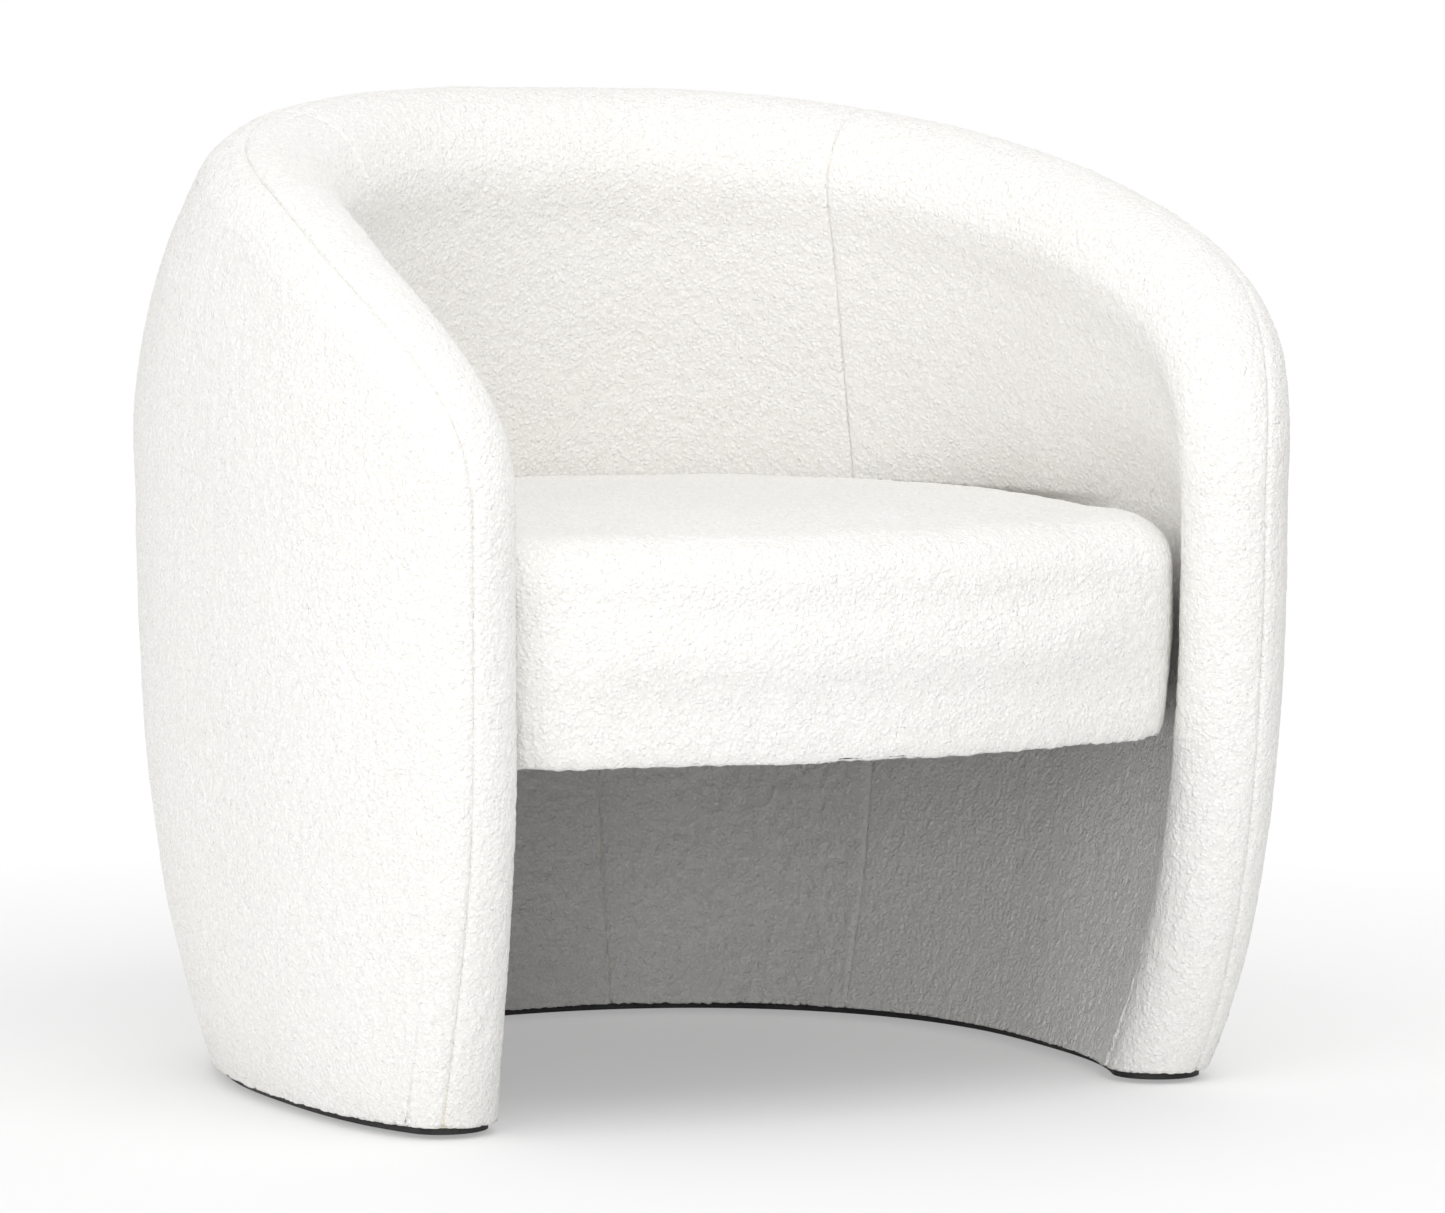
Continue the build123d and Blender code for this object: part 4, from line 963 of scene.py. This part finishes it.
BEECH, BEECH_DARK = (0.62, 0.42, 0.24), (0.42, 0.26, 0.13)
BIRCH, BIRCH_DARK = (0.72, 0.56, 0.37), (0.52, 0.37, 0.21)
FOAM = foam_material()
HARDWOOD = wood_material("beech_frame", BEECH, BEECH_DARK, 24.0)
BENT_PLY = wood_material("bent_birch_ply", BIRCH, BIRCH_DARK, 16.0)
FRAME_PLY = wood_material("birch_ply_board", BIRCH, BIRCH_DARK, 18.0, 110.0)
ZINC = zinc_material()
WEBBING = webbing_material()
hidden_materials = {
    "rim_roll_foam": FOAM, "outer_foam": FOAM, "inner_foam": FOAM, "seat_foam": FOAM,
    "seat_wadding": wadding_material(), "seat_insulator": felt_material(),
    "seat_webbing": WEBBING, "seat_dust_cover": dust_cloth_material(),
    "outer_skin": BENT_PLY, "inner_skin": BENT_PLY, "cap_rail": BENT_PLY,
    "rib": FRAME_PLY, "base_ring": FRAME_PLY, "seat_ring": FRAME_PLY,
    "seat_front_rail": HARDWOOD, "seat_hoop": HARDWOOD, "seat_corner_blocks": HARDWOOD,
    "mount_blocks": HARDWOOD, "plinth": board_material(),
    "glides": plastic_material("glide_nylon", (0.030, 0.030, 0.032), (0.045, 0.045, 0.047), 0.42),
    "mount_spacers": plastic_material("spacer_nylon", (0.75, 0.74, 0.70), (0.80, 0.79, 0.76), 0.4),
    "mount_tee_nuts": ZINC, "mount_washers": ZINC, "mount_bolts": ZINC, "plinth_screws": ZINC,
}
for node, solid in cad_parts.items():
    keys = [key for key in hidden_materials if node.startswith(key)]
    if keys:
        wear(solid, hidden_materials[max(keys, key=len)])


# ------------------------------------------------------------ floor, light and camera
FLOOR_REACH = 9                          # metres from the middle to the floor's edges
FLOOR_TONE, FLOOR_SHADOW_GLOW = 0.93, 0.35      # its grey, and its share of plain white glow under the chair, painted light that lightens the chair's shadow
FLOOR_NEAR, FLOOR_FAR = 0.62, 1.35       # metres from the middle where it turns white
WORLD_FILL, WORLD_SEEN = 0.64, 1.0       # light of the surroundings on the chair, and as seen
CAMERA_PLACE = (-2.1576, -4.5131, 0.7537)
CAMERA_DOWN, CAMERA_TURN = 4.746, 26.088   # degrees below level, and towards +X
CAMERA_LENS, SENSOR_WIDTH = 168.27, 36.0


def floor_material():
    """Pale floor keeping the chair's shadow, lightened by painted white glow, fading to plain white
    away from it.
    """
    m = Nodes("studio_floor")
    m.tree.nodes.remove(m.shader)
    diffuse = m.add("BsdfDiffuse", Color=(FLOOR_TONE, FLOOR_TONE, FLOOR_TONE, 1.0))
    white = m.add("Emission", Strength=1.0)
    away = m.add("VectorMath", [("operation", "LENGTH")])
    m.join(m.place, away.inputs[0])
    # painted light: even under the chair this share of the floor is plain white glow, which lightens
    # the shadow
    share = m.level(away.outputs["Value"], FLOOR_NEAR, FLOOR_FAR, FLOOR_SHADOW_GLOW, 1.0)
    path = m.add("LightPath")
    seen = m.math("MAXIMUM", path.outputs["Is Camera Ray"], path.outputs["Is Glossy Ray"])
    seen = m.math("MAXIMUM", seen, path.outputs["Is Transmission Ray"])
    mix = m.add("MixShader", Fac=m.math("MULTIPLY", share, seen))
    m.join(diffuse.outputs["BSDF"], mix.inputs[1])
    m.join(white.outputs["Emission"], mix.inputs[2])
    m.join(mix.outputs["Shader"], m.output.inputs["Surface"])
    return m.material


def studio_world():
    """White surroundings that light the chair less strongly than they are seen."""
    world = bpy.data.worlds.new("studio")
    world.use_nodes = True
    tree = world.node_tree
    tree.nodes.clear()
    path = tree.nodes.new("ShaderNodeLightPath")
    either = tree.nodes.new("ShaderNodeMixShader")
    sky = tree.nodes.new("ShaderNodeOutputWorld")
    for slot, strength in ((1, WORLD_FILL), (2, WORLD_SEEN)):
        white = tree.nodes.new("ShaderNodeBackground")
        white.inputs["Color"].default_value = (1.0, 1.0, 1.0, 1.0)
        white.inputs["Strength"].default_value = strength
        tree.links.new(white.outputs["Background"], either.inputs[slot])
    seen = path.outputs["Is Camera Ray"]
    for ray in ("Is Glossy Ray", "Is Transmission Ray"):
        any_ray = tree.nodes.new("ShaderNodeMath")
        any_ray.operation = "MAXIMUM"
        tree.links.new(seen, any_ray.inputs[0])
        tree.links.new(path.outputs[ray], any_ray.inputs[1])
        seen = any_ray.outputs[0]
    tree.links.new(seen, either.inputs["Fac"])
    tree.links.new(either.outputs["Shader"], sky.inputs["Surface"])
    return world


def soft_light(name, place, aim, size, watts):
    """Square area lamp pointed at a place."""
    data = bpy.data.lights.new(name, "AREA")
    data.shape = "SQUARE"
    data.size = size
    data.energy = watts
    lamp = bpy.data.objects.new(name, data)
    lamp.location = place
    lamp.rotation_euler = (Vector(aim) - Vector(place)).to_track_quat("-Z", "Y").to_euler()
    scene.collection.objects.link(lamp)


floor_mesh = bpy.data.meshes.new("floor")
floor_mesh.from_pydata([(-FLOOR_REACH, -FLOOR_REACH, 0), (FLOOR_REACH, -FLOOR_REACH, 0),
                        (FLOOR_REACH, FLOOR_REACH, 0), (-FLOOR_REACH, FLOOR_REACH, 0)],
                       [], [(0, 1, 2, 3)])
floor_mesh.materials.append(floor_material())
floor = bpy.data.objects.new("floor", floor_mesh)
scene = bpy.context.scene
scene.collection.objects.link(floor)

scene.view_settings.view_transform = "Standard"
scene.world = studio_world()
soft_light("key", (-2.6, -3.4, 1.5), (0.0, 0.0, 0.4), 2.4, 5.0)
soft_light("low_front", (-1.7, -3.5, 0.64), (0.05, 0.1, 0.12), 1.2, 19.0)
soft_light("low_left", (-3.3, -2.3, 0.72), (0.1, 0.0, 0.15), 1.4, 15.0)
soft_light("overhead", (-0.2, -1.2, 2.6), (0.0, 0.2, 0.5), 1.6, 24.0)
soft_light("left", (-3.6, 0.2, 1.2), (0.0, 0.0, 0.4), 2.0, 13.0)
soft_light("rear", (2.6, 2.8, 2.2), (0.0, 0.0, 0.4), 2.4, 28.0)

camera_data = bpy.data.cameras.new("camera")
camera_data.sensor_fit = "HORIZONTAL"
camera_data.sensor_width = SENSOR_WIDTH
camera_data.lens = CAMERA_LENS
camera = bpy.data.objects.new("camera", camera_data)
camera.location = CAMERA_PLACE
camera.rotation_euler = (math.radians(90 - CAMERA_DOWN), 0.0, math.radians(-CAMERA_TURN))
scene.collection.objects.link(camera)
scene.camera = camera
